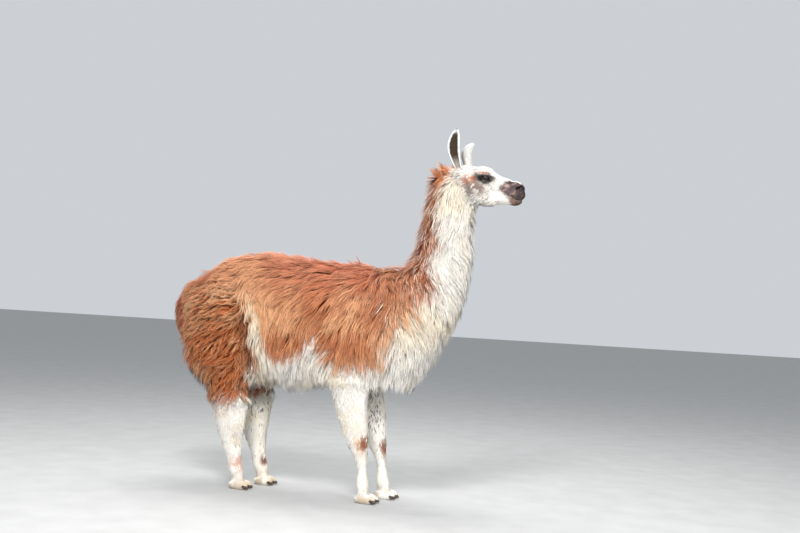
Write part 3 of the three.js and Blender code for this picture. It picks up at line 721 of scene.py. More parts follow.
thighLies = (
    (-0.33, 0.99, 84), (-0.42, 1.00, 70), (-0.55, 0.98, 46), (-0.66, 0.90, 16), (-0.32, 0.90, 46),
    (-0.45, 0.88, 44), (-0.58, 0.84, 26), (-0.26, 0.78, 26), (-0.36, 0.76, 46), (-0.50, 0.74, 44),
    (-0.62, 0.72, 30), (-0.28, 0.62, 36), (-0.40, 0.62, 52), (-0.55, 0.60, 38), (-0.30, 0.52, 14),
    (-0.42, 0.50, 34), (-0.54, 0.50, 28), (-0.36, 0.42, 8),
)
wool = {
    "spacing": 0.0242, "tuftSpacing": 0.0150,  # between locks, and between those of the tuft behind the ears
    "strands": (14, 9), "points": (4, 5), "halfWidth": (0.0013, 0.0015),  # for a plain lock and a thigh's
    "radius": 0.0180,
    "trunk": 0.098, "thigh": 0.074, "breast": 0.112, "belly": 0.086, "neck": 0.074, "tail": 0.110,  # lengths
    "nape": 0.052,
}
shortHair = {
    "points": 3, "legSpacing": 0.0088, "faceSpacing": 0.0037,
    "legLength": 0.021, "footLength": 0.012, "faceLength": 0.0105, "muzzleLength": 0.0040,
    "more": 0.012,  # longer by this where the leg and the face meet the wool
    "legRidge": 0.22, "faceRidge": 0.14,  # a tuft's height over its half width
}
skyward = np.array((0.0, 0.0, 1.0))
tuftPatch = 0.003  # each tuft's share of its map
lowestHair = 0.0006  # over the ground


def lieFrom(table, places):
    table = np.array(table)
    apart = ((places[:, None, [0, 2]] - table[None, :, :2]) ** 2).sum(2)
    weight = 1 / (apart + 0.03 ** 2) ** 2
    angle = np.radians(table[:, 2])
    back, down = weight @ np.sin(angle), weight @ np.cos(angle)
    return np.stack([-back, np.zeros(len(places)), -down], 1) / weight.sum(1)[:, None]


def foldShare(places, low, high):  # how near a place is to the pale line in front of the thigh
    x, z = places[:, 0], places[:, 2]
    beside = np.abs(x - lineAt(foldLine, z))
    return smoothStep(high, low, beside) * smoothStep(1.03, 0.99, z) * smoothStep(0.58, 0.62, z)


def lieAt(places, normals):
    thigh = thighShare(places)
    lie = mixed(lieFrom(trunkLies, places), lieFrom(thighLies, places), thigh)
    lie = mixed(lie, np.array((0.33, 0.0, -0.94)), foldShare(places, 0.035, 0.090))
    lie[:, 1] += 0.22 * np.sign(places[:, 1]) * smoothStep(0.5, 0.95, normals[:, 2])
    leg = legShare(places)
    foot = smoothStep(0.09, 0.05, places[:, 2])
    legLie = np.stack([0.05 + 0.75 * foot, np.zeros(len(places)), -np.ones(len(places))], 1)
    lie = mixed(lie, legLie, leg * (1 - thigh * (places[:, 2] > 0.45)))
    x, z = places[:, 0], places[:, 2]
    rising = 0.30 * smoothStep(1.54, 1.60, z) - 0.60 * smoothStep(1.52, 1.46, z)
    rising = rising - 0.5 * smoothStep(0.97, 1.01, x)
    faceLie = np.stack([-np.ones(len(places)), np.zeros(len(places)), rising], 1)
    for side in (-1, 1):
        away = places - np.array(eyeFrame(side)[0])
        reach = np.linalg.norm(away, axis=1)
        faceLie += away / reach[:, None] * (1.4 * np.exp(-(reach / 0.034) ** 2))[:, None]
    lie = mixed(lie, faceLie, faceShare(places))
    return unit(lie - normals * (lie * normals).sum(1)[:, None])


def scatter(cell, allowed, amount, dice):  # one root for each cell of a grid that the body's skin crosses
    corners = triangleCorners(bodyMesh)
    places, normals = readPlaces(bodyMesh), readNormals(bodyMesh)
    a, b, c = (places[corners[:, i]] for i in range(3))
    area = np.linalg.norm(np.cross(b - a, c - a), axis=1) * allowed((a + b + c) / 3)
    chosen = dice.choice(len(corners), amount, p=area / area.sum())
    u, v = dice.random(amount), dice.random(amount)
    flip = u + v > 1
    u, v = np.where(flip, 1 - u, u), np.where(flip, 1 - v, v)
    shares = np.stack([1 - u - v, u, v], 1)
    spots = (places[corners[chosen]] * shares[:, :, None]).sum(1)
    ways = unit((normals[corners[chosen]] * shares[:, :, None]).sum(1))
    cells = np.floor(spots / cell).astype(np.int64) @ np.array((1, 4099, 16777259))
    _, first = np.unique(cells, return_index=True)
    first.sort()
    return spots[first], ways[first]


def woolLength(places, normals):
    x, z = places[:, 0], places[:, 2]
    high = z > 1.35
    length = np.full(len(places), wool["trunk"])
    for part, share in (
        ("neck", smoothStep(0.95, 1.15, z) * smoothStep(0.36, 0.46, x)),
        ("breast", chestShare(places)),
        ("thigh", thighShare(places)),
        ("belly", smoothStep(-0.2, -0.6, normals[:, 2]) * (1 - chestShare(places))),
        ("tail", tailShare(places)),
        ("nape", smoothStep(-0.09, -0.03, faceAhead(places)) * high),
    ):
        length += (wool[part] - length) * share
    short = np.maximum(legShare(places), smoothStep(-0.035, 0.005, faceAhead(places)) * high)
    return length * (1 - 0.68 * short)


def alongPath(path, share):  # points at shares of a path's run, from 0 to 1
    last = path.shape[1] - 1
    at = np.clip(share * last, 0, last)
    low = np.minimum(at.astype(int), last - 1)
    rest = (at - low)[..., None]
    rows = np.arange(len(path))[:, None]
    return path[rows, low] * (1 - rest) + path[rows, low + 1] * rest


def tuftShare(places):  # the tuft behind the ears
    return oval(places, (0.635, 0, 1.595), (0.060, 0.050, 0.062), 0.3)


def standingShare(places):  # the tuft, and the wisps over the withers
    wisps = oval(places, (0.222, 0, 1.14), (0.035, 0.016, 0.06), 0.3)
    return np.maximum(0.9 * tuftShare(places), 0.6 * wisps)


def lockCourses(places, normals, points, dice):  # each lock's middle line, and the skin's way up along it
    length = woolLength(places, normals) * dice.uniform(0.78, 1.15, len(places))
    length = length * (1 - 0.22 * standingShare(places))
    swerve = (dice.normal(0, 0.11, len(places)) + 0.22 * Wobble(21).at(places, 0.09))[:, None]
    step = length[:, None] / (points - 1)
    way = lieAt(places, normals)
    way = unit(way + np.cross(normals, way) * swerve)
    ground, ups, free = [places], [normals], [places]
    freeWay = unit(way + 0.55 * normals)
    for _ in range(points - 1):
        found, facing = nearest(bodyTree, ground[-1] + way * step * 0.95)
        facing = unit(0.5 * ups[-1] + 0.5 * facing)
        turned = lieAt(found, facing)
        turned = unit(turned + np.cross(facing, turned) * swerve)
        way = unit(way * 0.5 + turned * 0.5)
        way = unit(way - facing * (way * facing).sum(1)[:, None])
        freeWay = unit(freeWay * 0.62 + way * 0.12 - skyward * 0.42)
        ground.append(found)
        ups.append(facing)
        free.append(free[-1] + freeWay * step)
    ground, ups, free = np.stack(ground, 1), np.stack(ups, 1), np.stack(free, 1)

    share = np.linspace(0, 1, points)
    level = dice.uniform(0.62, 1.02, len(places)) * (1 + 0.10 * Wobble(22).at(places, 0.07))
    level = (level + 0.12 * thighShare(places)) * (1 + 0.35 * foldShare(places, 0.016, 0.034))
    level = (coatDepth(places) * level)[:, None]
    lift = -0.003 + level * (1 - (1 - share) ** 1.9) * (1 + 0.10 * share)
    hang = lowerShare(places, normals) * (1 - 0.6 * tailShare(places))
    centre = mixed(ground + ups * lift[..., None], free, np.outer(hang, np.ones(points)))
    risenWay = 1.0 * normals + 0.30 * lieAt(places, normals) + 0.25 * skyward
    risen = places[:, None] + risenWay[:, None] * (length[:, None] * share)[..., None]
    return mixed(centre, risen, np.outer(standingShare(places), np.ones(points))), ups


def growWool(dice, curled):  # the thighs' curled locks, or all the others
    def allowed(spots):
        thigh = thighShare(spots) > 0.5
        return ((legShare(spots) < 0.75) & (faceShare(spots) < 0.6) & (thigh == curled)).astype(float)

    def tufted(spots):
        return (tuftShare(spots) > 0.4) * allowed(spots)

    places, normals = scatter(wool["spacing"], allowed, 20000 if curled else 60000, dice)
    if not curled:
        more = scatter(wool["tuftSpacing"], tufted, 5000, dice)
        places, normals = np.concatenate([places, more[0]]), np.concatenate([normals, more[1]])
    count, points, strands = len(places), wool["points"][curled], wool["strands"][curled]
    centre, ups = lockCourses(places, normals, points, dice)
    ahead = unit(np.gradient(centre, axis=1))
    across = unit(np.cross(ups, ahead))

    lock = np.repeat(np.arange(count), strands)
    total = len(lock)
    share = np.linspace(0, 1, points)
    thigh, chest, depth = thighShare(places), chestShare(places), coatDepth(places)
    reach = wool["radius"] * np.sqrt(dice.random(total)) * (1 - 0.35 * thigh[lock])
    turn = dice.uniform(0, 2 * math.pi, total)
    t = share[None, :] * dice.uniform(0.74, 1.06, total)[:, None]
    path = alongPath(centre[lock], t)
    side, rise, run = alongPath(across[lock], t), alongPath(ups[lock], t), alongPath(ahead[lock], t)
    tightness = 0.14 + 0.44 * np.maximum(thigh, 0.5 * chest)
    closing = 1 - tightness[lock][:, None] * share[None, :] ** 1.1
    path = path + side * (reach * np.sin(turn))[:, None, None] * closing[..., None]
    path = path + run * (reach * np.cos(turn))[:, None, None] * closing[..., None]
    stray = (dice.normal(0, 0.13, total) * depth[lock])[:, None, None]
    path = path + rise * stray * np.sqrt(share)[None, :, None]

    curly = thigh * (1 - legShare(places))
    waveHeight = (0.0030 + 0.0062 * curly + 0.0016 * chest) * dice.uniform(0.5, 1.4, count)
    waves = (1.0 + 0.5 * curly) * dice.uniform(0.7, 1.3, count)
    phase = dice.uniform(0, 2 * math.pi, count)[lock] + dice.normal(0, 0.5, total)
    angle = phase[:, None] + 2 * math.pi * waves[lock][:, None] * share[None, :]
    swing = waveHeight[lock][:, None] * share[None, :] ** 0.7
    path = path + side * (swing * np.sin(angle))[..., None] + rise * (swing * 0.6 * np.cos(angle))[..., None]

    thin = 1 - 0.35 * smoothStep(0.35, 0.5, places[:, 0])[lock] * smoothStep(1.0, 1.2, places[:, 2])[lock]
    thin = wool["halfWidth"][curled] * (thin * dice.uniform(0.7, 1.25, total))[:, None]
    width = thin * (0.62 + 0.38 * np.sin(math.pi * np.minimum(share * 1.25, 1)))[None, :]
    width = width * (1 - 0.62 * share[None, :] ** 2.2) * (1 + 0.5 * tuftShare(places)[lock])[:, None]
    shade = strandShades(places[lock], normals[lock], lock, count, share, dice)
    return {"path": path, "side": side, "rise": rise, "width": width, "shade": shade, "root": places[lock]}


def strandShades(roots, facing, lock, locks, share, dice):  # the marking at the root, tinted strand by strand
    total = len(roots)
    stray = dice.normal(0, 0.005, (locks, 3))[lock] + dice.normal(0, 0.011, (total, 3))
    colour = markings(roots + stray, facing)
    brown = smoothStep(0.80, 0.45, colour[:, 2] / np.maximum(colour[:, 0], 1e-3))
    x, z = roots[:, 0], roots[:, 2]
    crest = smoothStep(0.30, 0.40, x) * smoothStep(0.84, 1.0, z) * smoothStep(1.56, 1.50, z) * brown
    draw = dice.random(total)
    colour = mixed(colour, shades["dark"], np.where(draw < 0.13 * crest, 0.75, 0.0))
    colour = mixed(colour, shades["greyBrown"], np.where((draw > 0.80) & (crest > 0.4), 0.6, 0.0))
    edge = crest * smoothStep(-0.17, -0.05, x - lineAt(chestLine, z))
    colour = mixed(colour, shades["white"], np.where((draw > 0.50) & (draw < 0.50 + 0.22 * edge), 0.7, 0.0))
    tint = np.exp(dice.normal(0, 0.045, locks)[lock] + dice.normal(0, 0.14, total) * (0.35 + 0.65 * brown))
    warm = np.clip(dice.normal(0.08, 0.08, locks)[lock] + dice.normal(0, 0.18, total), 0, 0.6) * brown
    colour = mixed(colour, shades["tan"], warm) * tint[:, None]
    # painted shade and light: each strand darker at its root and lighter towards its tip, brown wool more
    # than pale
    depthShade = np.interp(share, (0, 0.25, 0.6, 1), (0.66, 0.86, 0.98, 1.06))
    pale = np.interp(share, (0, 0.25, 0.6, 1), (0.86, 0.94, 1.00, 1.03))
    brown = brown * (1 - 0.35 * thighShare(roots))
    ramp = pale[None, :] + (depthShade - pale)[None, :] * brown[:, None]
    result = colour[:, None, :] * ramp[..., None]
    tip = np.outer(brown, np.clip(share - 0.55, 0, 1) * 0.40)
    return np.clip(mixed(result, shades["paleTan"], tip), 0, 1)


def growShort(cell, allowed, amount, lengthOf, widthOf, dice):  # single short tufts that lie flat
    places, normals = scatter(cell, allowed, amount, dice)
    count, points = len(places), shortHair["points"]
    share = np.linspace(0, 1, points)
    length = lengthOf(places) * dice.uniform(0.7, 1.25, count)
    way = lieAt(places, normals)
    side = np.cross(normals, way)
    way = unit(way + side * (dice.normal(0, 0.20, count) + 0.25 * Wobble(31).at(places, 0.03))[:, None])
    side = unit(np.cross(normals, way))
    stand = dice.uniform(0.12, 0.28, count) * (1 - 0.4 * faceShare(places))
    run = (length[:, None] * share[None, :])[..., None]
    lift = length[:, None] * (stand[:, None] * np.sin(share[None, :] * 1.7)) - 0.0006
    path = places[:, None] + way[:, None] * run + normals[:, None] * lift[..., None]
    width = widthOf(places)[:, None] * np.array((0.8, 1.0, 0.0))[None, :]
    width = width * dice.uniform(0.8, 1.2, count)[:, None]
    stray = dice.normal(0, 1, (count, 3)) * (0.25 * length)[:, None]
    colour = markings(places + stray, normals)
    fleck = (dice.random(count) < 0.014) & (places[:, 2] < 0.5)
    colour = mixed(colour, shades["greyBrown"] * 0.6, np.where(fleck, 0.7, 0.0) * legShare(places))
    # painted shade: grey flecks darken the legs' inner sides
    inner = smoothStep(0.085, 0.05, np.abs(places[:, 1])) * smoothStep(0.30, 0.42, places[:, 2])
    colour = mixed(colour, shades["earGrey"] * 0.55, np.where(dice.random(count) < 0.40 * inner, 0.8, 0.0))
    tint = np.exp(dice.normal(0, 1, count) * (0.07 + 0.09 * smoothStep(0.08, 0.03, places[:, 2])))
    # painted shade and light: each tuft darker at its root and lighter at its tip
    ramp = tint[:, None] * np.array((0.88, 0.97, 1.03))[None, :]
    side, rise = (np.repeat(ways[:, None], points, 1) for ways in (side, normals))
    shade = np.clip(colour[:, None, :] * ramp[..., None], 0, 1)
    return {"path": path, "side": side, "rise": rise, "width": width, "shade": shade, "root": places}


earHair = {  # for the ear's outer face, inner face and rim
    "count": (900, 900, 520), "from": (0.10, 0.10, 0.18), "to": 0.975, "stand": (0.14, 0.22, 0.22),
    "length": ((0.012, 0.020), (0.010, 0.016), (0.007, 0.013)), "halfWidth": 0.0016,
}


def growEars(dice):  # hair along both faces of each ear, and a fringe round its rim
    parts = []
    share = np.linspace(0, 1, shortHair["points"])
    for side in (-1, 1):
        for kind, face in enumerate((1, -1, 0)):
            count = earHair["count"][kind]
            along = dice.uniform(earHair["from"][kind], earHair["to"], count)
            across = dice.uniform(-0.97, 0.97, count) if face else np.sign(dice.random(count) - 0.5) * 0.985
            sink = (0.0, -1.0, -0.5)[kind] * ears["thickness"]
            place = earPlaces(along, across, side, sink)
            onward = earPlaces(np.minimum(along + 0.03, 1.03), across * 0.97, side, sink)
            outer = unit(earPlaces(along, across, side, 0.004) - earPlaces(along, across, side, -0.004))
            way = unit(onward - place)
            normal = outer * face
            length = dice.uniform(*earHair["length"][kind], count)[:, None]
            lift = length * earHair["stand"][kind] * np.sin(share[None, :] * 2.0) - 0.0005
            if face == 0:
                edge = unit(earPlaces(along, across * 1.05, side, sink) - place)
                way = unit(way + 0.45 * edge)
                normal = unit(np.array((0.0, -1.0, 0.35)) + 0.4 * edge)
            shade = earShades(along, across, face, side) * np.exp(dice.normal(0, 0.10, count))[:, None]
            width = (earHair["halfWidth"] * dice.uniform(0.8, 1.2, count))[:, None]
            path = place[:, None] + way[:, None] * (length * share)[..., None]
            parts.append({
                "path": path + normal[:, None] * lift[..., None],
                "side": np.repeat(unit(np.cross(normal, way))[:, None], len(share), 1),
                "rise": np.repeat(normal[:, None], len(share), 1),
                "width": width * np.array((0.8, 1.0, 0.0)),
                # painted shade and light: each hair darker at its root and lighter at its tip
                "shade": np.clip(shade[:, None] * np.array((0.85, 0.97, 1.04))[None, :, None], 0, 1),
                "root": place,
            })
    return {key: np.concatenate([part[key] for part in parts]) for key in parts[0]}


def earShades(along, across, face, side):
    rows = (len(along), 1)
    outside = mixed(np.tile(shades["white"], rows), shades["cool"], smoothStep(0.2, 0.8, along))
    outside = outside * (0.53 if side > 0 else 0.82)  # the ear that turns its back to the light is darker
    if face > 0:
        shadow = smoothStep(0.0, -0.4, across + 0.25 * along) * smoothStep(0.66, 0.52, along)
        return mixed(outside, shades["earGrey"], 0.85 * shadow)
    rim = smoothStep(0.74, 0.95, np.abs(across)) if face < 0 else np.ones(len(along))
    inside = mixed(np.tile(shades["earInner"], rows), shades["earGrey"], smoothStep(0.42, 0.18, along))
    inside = mixed(inside, shades["cool"], 0.6 * smoothStep(0.86, 0.97, along))
    return mixed(inside, outside, rim)


# tufts, joined as one mesh
def paint(mesh, colours):
    layer = mesh.attributes.new("coatColor", "FLOAT_COLOR", "POINT")
    layer.data.foreach_set("color", np.concatenate([colours, np.ones((len(colours), 1))], 1).reshape(-1))


def writeVectors(mesh, name, vectors):
    mesh.attributes.new(name, "FLOAT_VECTOR", "POINT").data.foreach_set("vector", vectors.reshape(-1))


def tuftMesh(name, tufts, chosen, unwrap, ridge):  # each tuft is a three-sided taper, closed at the root
    path, side, rise, width, shade, root = (
        tufts[key][chosen] for key in ("path", "side", "rise", "width", "shade", "root"))
    count, points = path.shape[:2]
    rings = points - 1
    perTuft = rings * 3 + 1
    offsets = np.array(((-1, -ridge / 2), (1, -ridge / 2), (0, ridge)))
    sideways, upwards = offsets[None, None, :, :1], offsets[None, None, :, 1:]
    around = side[:, :rings, None] * sideways + rise[:, :rings, None] * upwards
    body = (path[:, :rings, None] + around * width[:, :rings, None, None]).reshape(count, rings * 3, 3)
    places = np.concatenate([body, path[:, -1:]], 1)
    places[..., 2] = np.maximum(places[..., 2], lowestHair)

    quads = [(3 * r + a, 3 * r + b, 3 * r + 3 + b, 3 * r + 3 + a)
             for r in range(rings - 1) for a, b in ((0, 1), (1, 2), (2, 0))]
    last = 3 * (rings - 1)
    ends = [(last + a, last + b, perTuft - 1) for a, b in ((0, 1), (1, 2), (2, 0))] + [(2, 1, 0)]
    corners = np.array([corner for face in quads + ends for corner in face])
    sizes = np.array([len(face) for face in quads + ends])
    starts = np.concatenate([[0], np.cumsum(sizes)[:-1]])
    tuft = np.arange(count)[:, None]
    indices = (corners[None, :] + tuft * perTuft).reshape(-1)
    starts = (starts[None, :] + tuft * len(corners)).reshape(-1)
    mesh = bpy.data.meshes.new(name)
    mesh.vertices.add(count * perTuft)
    mesh.vertices.foreach_set("co", places.reshape(-1))
    mesh.loops.add(count * len(corners))
    mesh.loops.foreach_set("vertex_index", indices.astype(np.int32))
    mesh.polygons.add(count * len(sizes))
    mesh.polygons.foreach_set("loop_start", starts.astype(np.int32))
    mesh.update(calc_edges=True)
    mesh.shade_smooth()

    # the normals follow the skin's, so that the coat is lit as one soft surface
    facing = rise.copy()
    facing[..., 2] = np.maximum(facing[..., 2], -0.15)
    facing[..., 1] += 0.25 * np.sign(root[:, None, 1]) * (rise[..., 2] < 0)
    facing = unit(facing)
    turned = unit(facing[:, :rings, None] + 0.55 * side[:, :rings, None] * sideways)
    bent = np.concatenate([turned.reshape(count, rings * 3, 3), facing[:, -1:]], 1)
    mesh.normals_split_custom_set_from_vertices(bent.reshape(-1, 3).tolist())

    across = np.append(np.tile((0.0, 1.0, 0.5), rings), 0.5)
    run = np.append(np.repeat(np.arange(rings) / rings, 3), 1.0)
    seeds = np.random.default_rng(count).random(count)
    tints = np.concatenate([np.repeat(shade[:, :rings], 3, 1), shade[:, -1:]], 1)
    paint(mesh, tints.reshape(-1, 3))
    writeVectors(mesh, "strandPlace", np.stack([
        np.tile(across, (count, 1)), np.tile(run, (count, 1)), np.repeat(seeds[:, None], perTuft, 1)], 2))
    local = np.stack([across[corners], run[corners]], 1) * tuftPatch
    layer = mesh.uv_layers.new(name="OFBake")
    layer.uv.foreach_set("vector", (unwrap(root)[:, None] + local[None]).reshape(-1))
    return mesh, count * (6 * (rings - 1) + 4)


def roundX(height):  # unwraps round a line along X at a height
    return lambda places: unrolled(np.arctan2(places[:, 1], places[:, 2] - height), places[:, 0])


def roundZ(x, y):  # unwraps round an upright line
    return lambda places: unrolled(np.arctan2(places[:, 1] - y, places[:, 0] - x), places[:, 2])


def unrolled(angle, run):
    if np.abs(angle).max() > 3.0 and np.ptp(angle) > 5.5 and np.abs(angle).min() > 0.4:
        angle = np.mod(angle, 2 * math.pi)
    both = np.stack([angle, run], 1)
    low, high = both.min(0), both.max(0)
    return 0.01 + 0.975 * (both - low) / np.maximum(high - low, 1e-6)


# finishes
class Val:  # a socket's value, with the maths nodes behind Python's operators
    def __init__(self, nodes, socket):
        self.nodes, self.socket = nodes, socket

    def maths(self, operation, *values):
        return self.nodes.add("ShaderNodeMath", {"operation": operation}, dict(enumerate(values)))

    def __add__(self, other):
        return self.maths("ADD", self, other)

    def __radd__(self, other):
        return self.maths("ADD", other, self)

    def __sub__(self, other):
        return self.maths("SUBTRACT", self, other)

    def __rsub__(self, other):
        return self.maths("SUBTRACT", other, self)

    def __mul__(self, other):
        return self.maths("MULTIPLY", self, other)

    def __rmul__(self, other):
        return self.maths("MULTIPLY", other, self)


class Finish:  # one material and its nodes
    def __init__(self, name):
        self.material = bpy.data.materials.new(name)
        self.material.use_nodes = True
        self.tree = self.material.node_tree
        self.shader = self.tree.nodes["Principled BSDF"]

    def add(self, kind, settings=None, values=None, output=0):
        node = self.tree.nodes.new(kind)
        for key, value in (settings or {}).items():
            if key == "stops":
                ramp = node.color_ramp
                while len(ramp.elements) < len(value):
                    ramp.elements.new(0.5)
                for element, (position, colour) in zip(ramp.elements, value):
                    element.position, element.color = position, colour
            else:
                setattr(node, key, value)
        for key, value in (values or {}).items():
            self.give(node.inputs[key], value)
        return Val(self, node.outputs[output])

    def give(self, socket, value):
        if isinstance(value, Val):
            self.tree.links.new(value.socket, socket)
        elif isinstance(value, (int, float)):
            socket.default_value = value
        else:
            socket.default_value = tuple(value)

    def set(self, **values):  # the shader's own sockets
        for key, value in values.items():
            self.give(self.shader.inputs[key.replace("_", " ")], value)
        return self

    def attribute(self, name, output=0):
        return self.add("ShaderNodeAttribute", {"attribute_name": name}, output=output)

    def objectPlace(self):
        return self.add("ShaderNodeTexCoord", output=3)

    def noise(self, place, scale, detail, **others):
        values = {"Vector": place, "Scale": scale, "Detail": detail, **others}
        return self.add("ShaderNodeTexNoise", {}, values)

    def ramp(self, factor, *stops):
        rows = [(position, (*colour, 1.0)) for position, colour in stops]
        return self.add("ShaderNodeValToRGB", {"stops": rows}, {"Fac": factor})

    def scaled(self, vector, sizes):
        return self.add("ShaderNodeVectorMath", {"operation": "MULTIPLY"}, {0: vector, 1: sizes})

    def length(self, vector):
        return self.add("ShaderNodeVectorMath", {"operation": "LENGTH"}, {0: vector}, output=1)

    def between(self, value, low, high):  # 0 up to low, 1 from high on
        return self.add("ShaderNodeMapRange", {}, {"Value": value, "From Min": low, "From Max": high})

    def stretched(self, vector, scale):
        return self.add("ShaderNodeMapping", {}, {"Vector": vector, "Scale": scale})

    def tinted(self, colour, factor, other, blend="MIX"):
        return self.add("ShaderNodeMix", {"data_type": "RGBA", "blend_type": blend},
                        {0: factor, 6: colour, 7: other}, output=2)

    def bump(self, height, strength, distance):
        return self.add("ShaderNodeBump", {}, {"Height": height, "Strength": strength, "Distance": distance})


def coatFinish(name, streak, roughness):
    finish = Finish(name)
    hairs = finish.scaled(finish.attribute("strandPlace", 1), (5.0, 1.2, 60.0))
    hairs = finish.noise(hairs, 2.2, 3.0, Roughness=0.6)
    ramp = finish.ramp(hairs, (0.25, (0.66, 0.64, 0.62)), (0.75, (1.16, 1.16, 1.16)))
    finish.set(Base_Color=finish.tinted(finish.attribute("coatColor"), streak, ramp, "MULTIPLY"),
               Roughness=roughness + 0.15 * hairs, Normal=finish.bump(hairs, 0.5, 0.0012))
    finish.set(Sheen_Weight=0.04, Specular_IOR_Level=0.18)
    return finish.material


def skinFinish():
    finish = Finish("skin under the coat")
    place = finish.objectPlace()
    hairs = finish.noise(finish.stretched(place, (520, 700, 150)), 1.0, 3.0)
    pores = finish.add("ShaderNodeTexVoronoi", {}, {"Vector": place, "Scale": 900.0})
    ramp = finish.ramp(hairs, (0.3, (0.84, 0.83, 0.82)), (0.7, (1.0, 1.0, 1.0)))
    finish.set(Base_Color=finish.tinted(finish.attribute("coatColor"), 0.8, ramp, "MULTIPLY"),
               Roughness=0.62 + 0.2 * hairs, Normal=finish.bump(hairs + 0.25 * pores, 0.35, 0.0008))
    finish.set(Specular_IOR_Level=0.22)
    return finish.material


def eyeFinish():
    finish = Finish("eye")
    place = finish.attribute("eyePlace", 1)
    reach = finish.length(finish.scaled(place, (1.0, 1.0, 0.0)))
    slot = finish.length(finish.scaled(place, (0.52, 1.35, 0.0)))
    rays = finish.noise(place, 14.0, 5.0)
    iris = finish.ramp(rays, (0.30, (0.008, 0.004, 0.003)), (0.52, (0.026, 0.012, 0.007)),
                       (0.75, (0.050, 0.024, 0.012)))
    rim = finish.between(reach, 0.60, 0.70)
    dark = finish.tinted((0.004, 0.003, 0.003, 1), finish.between(slot, 0.22, 0.29), iris)
    finish.set(Base_Color=finish.tinted(dark, rim, (0.016, 0.011, 0.009, 1)), Roughness=0.05 + 0.05 * rim)
    finish.set(Coat_Weight=0.45, Coat_Roughness=0.02, Specular_IOR_Level=0.35, IOR=1.45)
    return finish.material


def hornFinish():
    finish = Finish("nail horn")
    grain = finish.noise(finish.stretched(finish.objectPlace(), (60, 420, 420)), 1.0, 4.0)
    colour = finish.ramp(grain, (0.30, tone("2E2621")), (0.55, tone("4E4137")), (0.80, tone("7A6A5A")))
    finish.set(Base_Color=colour, Roughness=0.42 + 0.2 * grain, Normal=finish.bump(grain, 0.4, 0.0006))
    return finish.material


woolFinish = coatFinish("long wool", 0.75, 0.62)
hairFinish = coatFinish("short hair", 0.45, 0.66)


def finishPiece(name, mesh, material):
    mesh.transform(Matrix.Translation(ownShift))
    mesh.materials.clear()
    mesh.materials.append(material)
    piece = objectOf(name, mesh)
    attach(piece, "root")
    return piece


# the skin's colours: the markings, a little darker, with painted shade where the coat covers the skin, and
# the ears' own
places = readPlaces(skinMesh)
colours = markings(places, readNormals(skinMesh))
earAlong, earAcross, earSide = (
    readAll(skinMesh.attributes[name].data, "value", 1)[:, 0] for name in earLayers)
for side in (-1, 1):
    chosen = np.flatnonzero(earSide == side)
    outer = earPlaces(earAlong[chosen], earAcross[chosen], side)
    inside = np.linalg.norm(places[chosen] - outer, axis=1) > ears["thickness"] / 2
    for face in (1, -1):
        part = chosen[inside == (face < 0)]
        colours[part] = earShades(earAlong[part], earAcross[part], face, side)
for name in earLayers:
    skinMesh.attributes.remove(skinMesh.attributes[name])
brown = smoothStep(0.80, 0.45, colours[:, 2] / np.maximum(colours[:, 0], 1e-3))
# painted shade: the skin under the coat darker, brown skin more so
underCoatShade = (1 - np.maximum(legShare(places), faceShare(places))) * (earSide == 0)
colours = np.clip(colours * (0.97 - 0.09 * (underCoatShade > 0) - underCoatShade * (0.14 + 0.28 * brown))[:, None], 0, 1)
paint(skinMesh, colours)
skin = finishPiece("skin", skinMesh, skinFinish())
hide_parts(*fleshNodes, *earNodes)
print("skin finished")

# the coat, piece by piece
dice = np.random.default_rng(5)
grown = [growWool(dice, curled) for curled in (False, True)]
total = 0


def layCoat(name, tufts, chosen, unwrap, ridge=0.36, material=hairFinish):
    mesh, triangles = tuftMesh(name, tufts, chosen, unwrap, ridge)
    finishPiece(name, mesh, material)
    print(name + ":", triangles, "triangles")
    return triangles


def eachSide(tufts):
    onRight = tufts["root"][:, 1] < 0
    return ("right", onRight), ("left", ~onRight)


def woolAreas(roots):  # each piece's part of the wool, its unwrap and its slot; the first that fits takes it
    x, z = roots[:, 0], roots[:, 2]
    neckLine = (x - 0.50) * 0.62 + (z - 1.04) * 0.78
    return {
        "tail": (tailShare(roots) > 0.5, roundZ(-0.72, 0), "rust_wool"),
        "neck": (neckLine > 0.12, roundZ(0.66, 0), "white_wool"),
        "breast": ((neckLine > -0.25) & (x > 0.30), roundZ(0.50, 0), "white_wool"),
        "shoulder": (x > 0.12, roundX(0.85), "rust_wool"),
        "side": (x > -0.20, roundX(0.85), "rust_wool"),
        "haunch": (z > 0, roundX(0.85), "rust_wool"),
    }


thighArea = {"thigh": (True, roundZ(-0.45, 0), "rust_wool")}
for locks, areas in zip(grown, (woolAreas(grown[0]["root"]), thighArea)):
    free = np.ones(len(locks["root"]), bool)
    for area, (inside, unwrap, slot) in areas.items():
        inside = inside & free
        free &= ~inside
        for sideName, ofSide in eachSide(locks):
            name = f"coat_{area}_{sideName}"
            total += layCoat(name, locks, inside & ofSide, unwrap, material=woolFinish)


def legAllowed(spots):
    return legShare(spots) * (spots[:, 2] > 0.004)


def legLength(spots):
    foot, leg = shortHair["footLength"], shortHair["legLength"]
    z = spots[:, 2]
    return foot + (leg - foot) * smoothStep(0.06, 0.30, z) + shortHair["more"] * smoothStep(0.40, 0.58, z)


def legWidth(spots):
    return 0.0015 + 0.0009 * smoothStep(0.05, 0.4, spots[:, 2])


legHair = growShort(shortHair["legSpacing"], legAllowed, 160000, legLength, legWidth, dice)
roots = legHair["root"]
for name, (footX, footY) in feet.items():
    chosen = ((roots[:, 0] > 0) == (footX > 0)) & ((roots[:, 1] > 0) == (footY > 0))
    unwrap = roundZ(footX - 0.05, footY)
    total += layCoat("coat_leg_" + name, legHair, chosen, unwrap, shortHair["legRidge"])


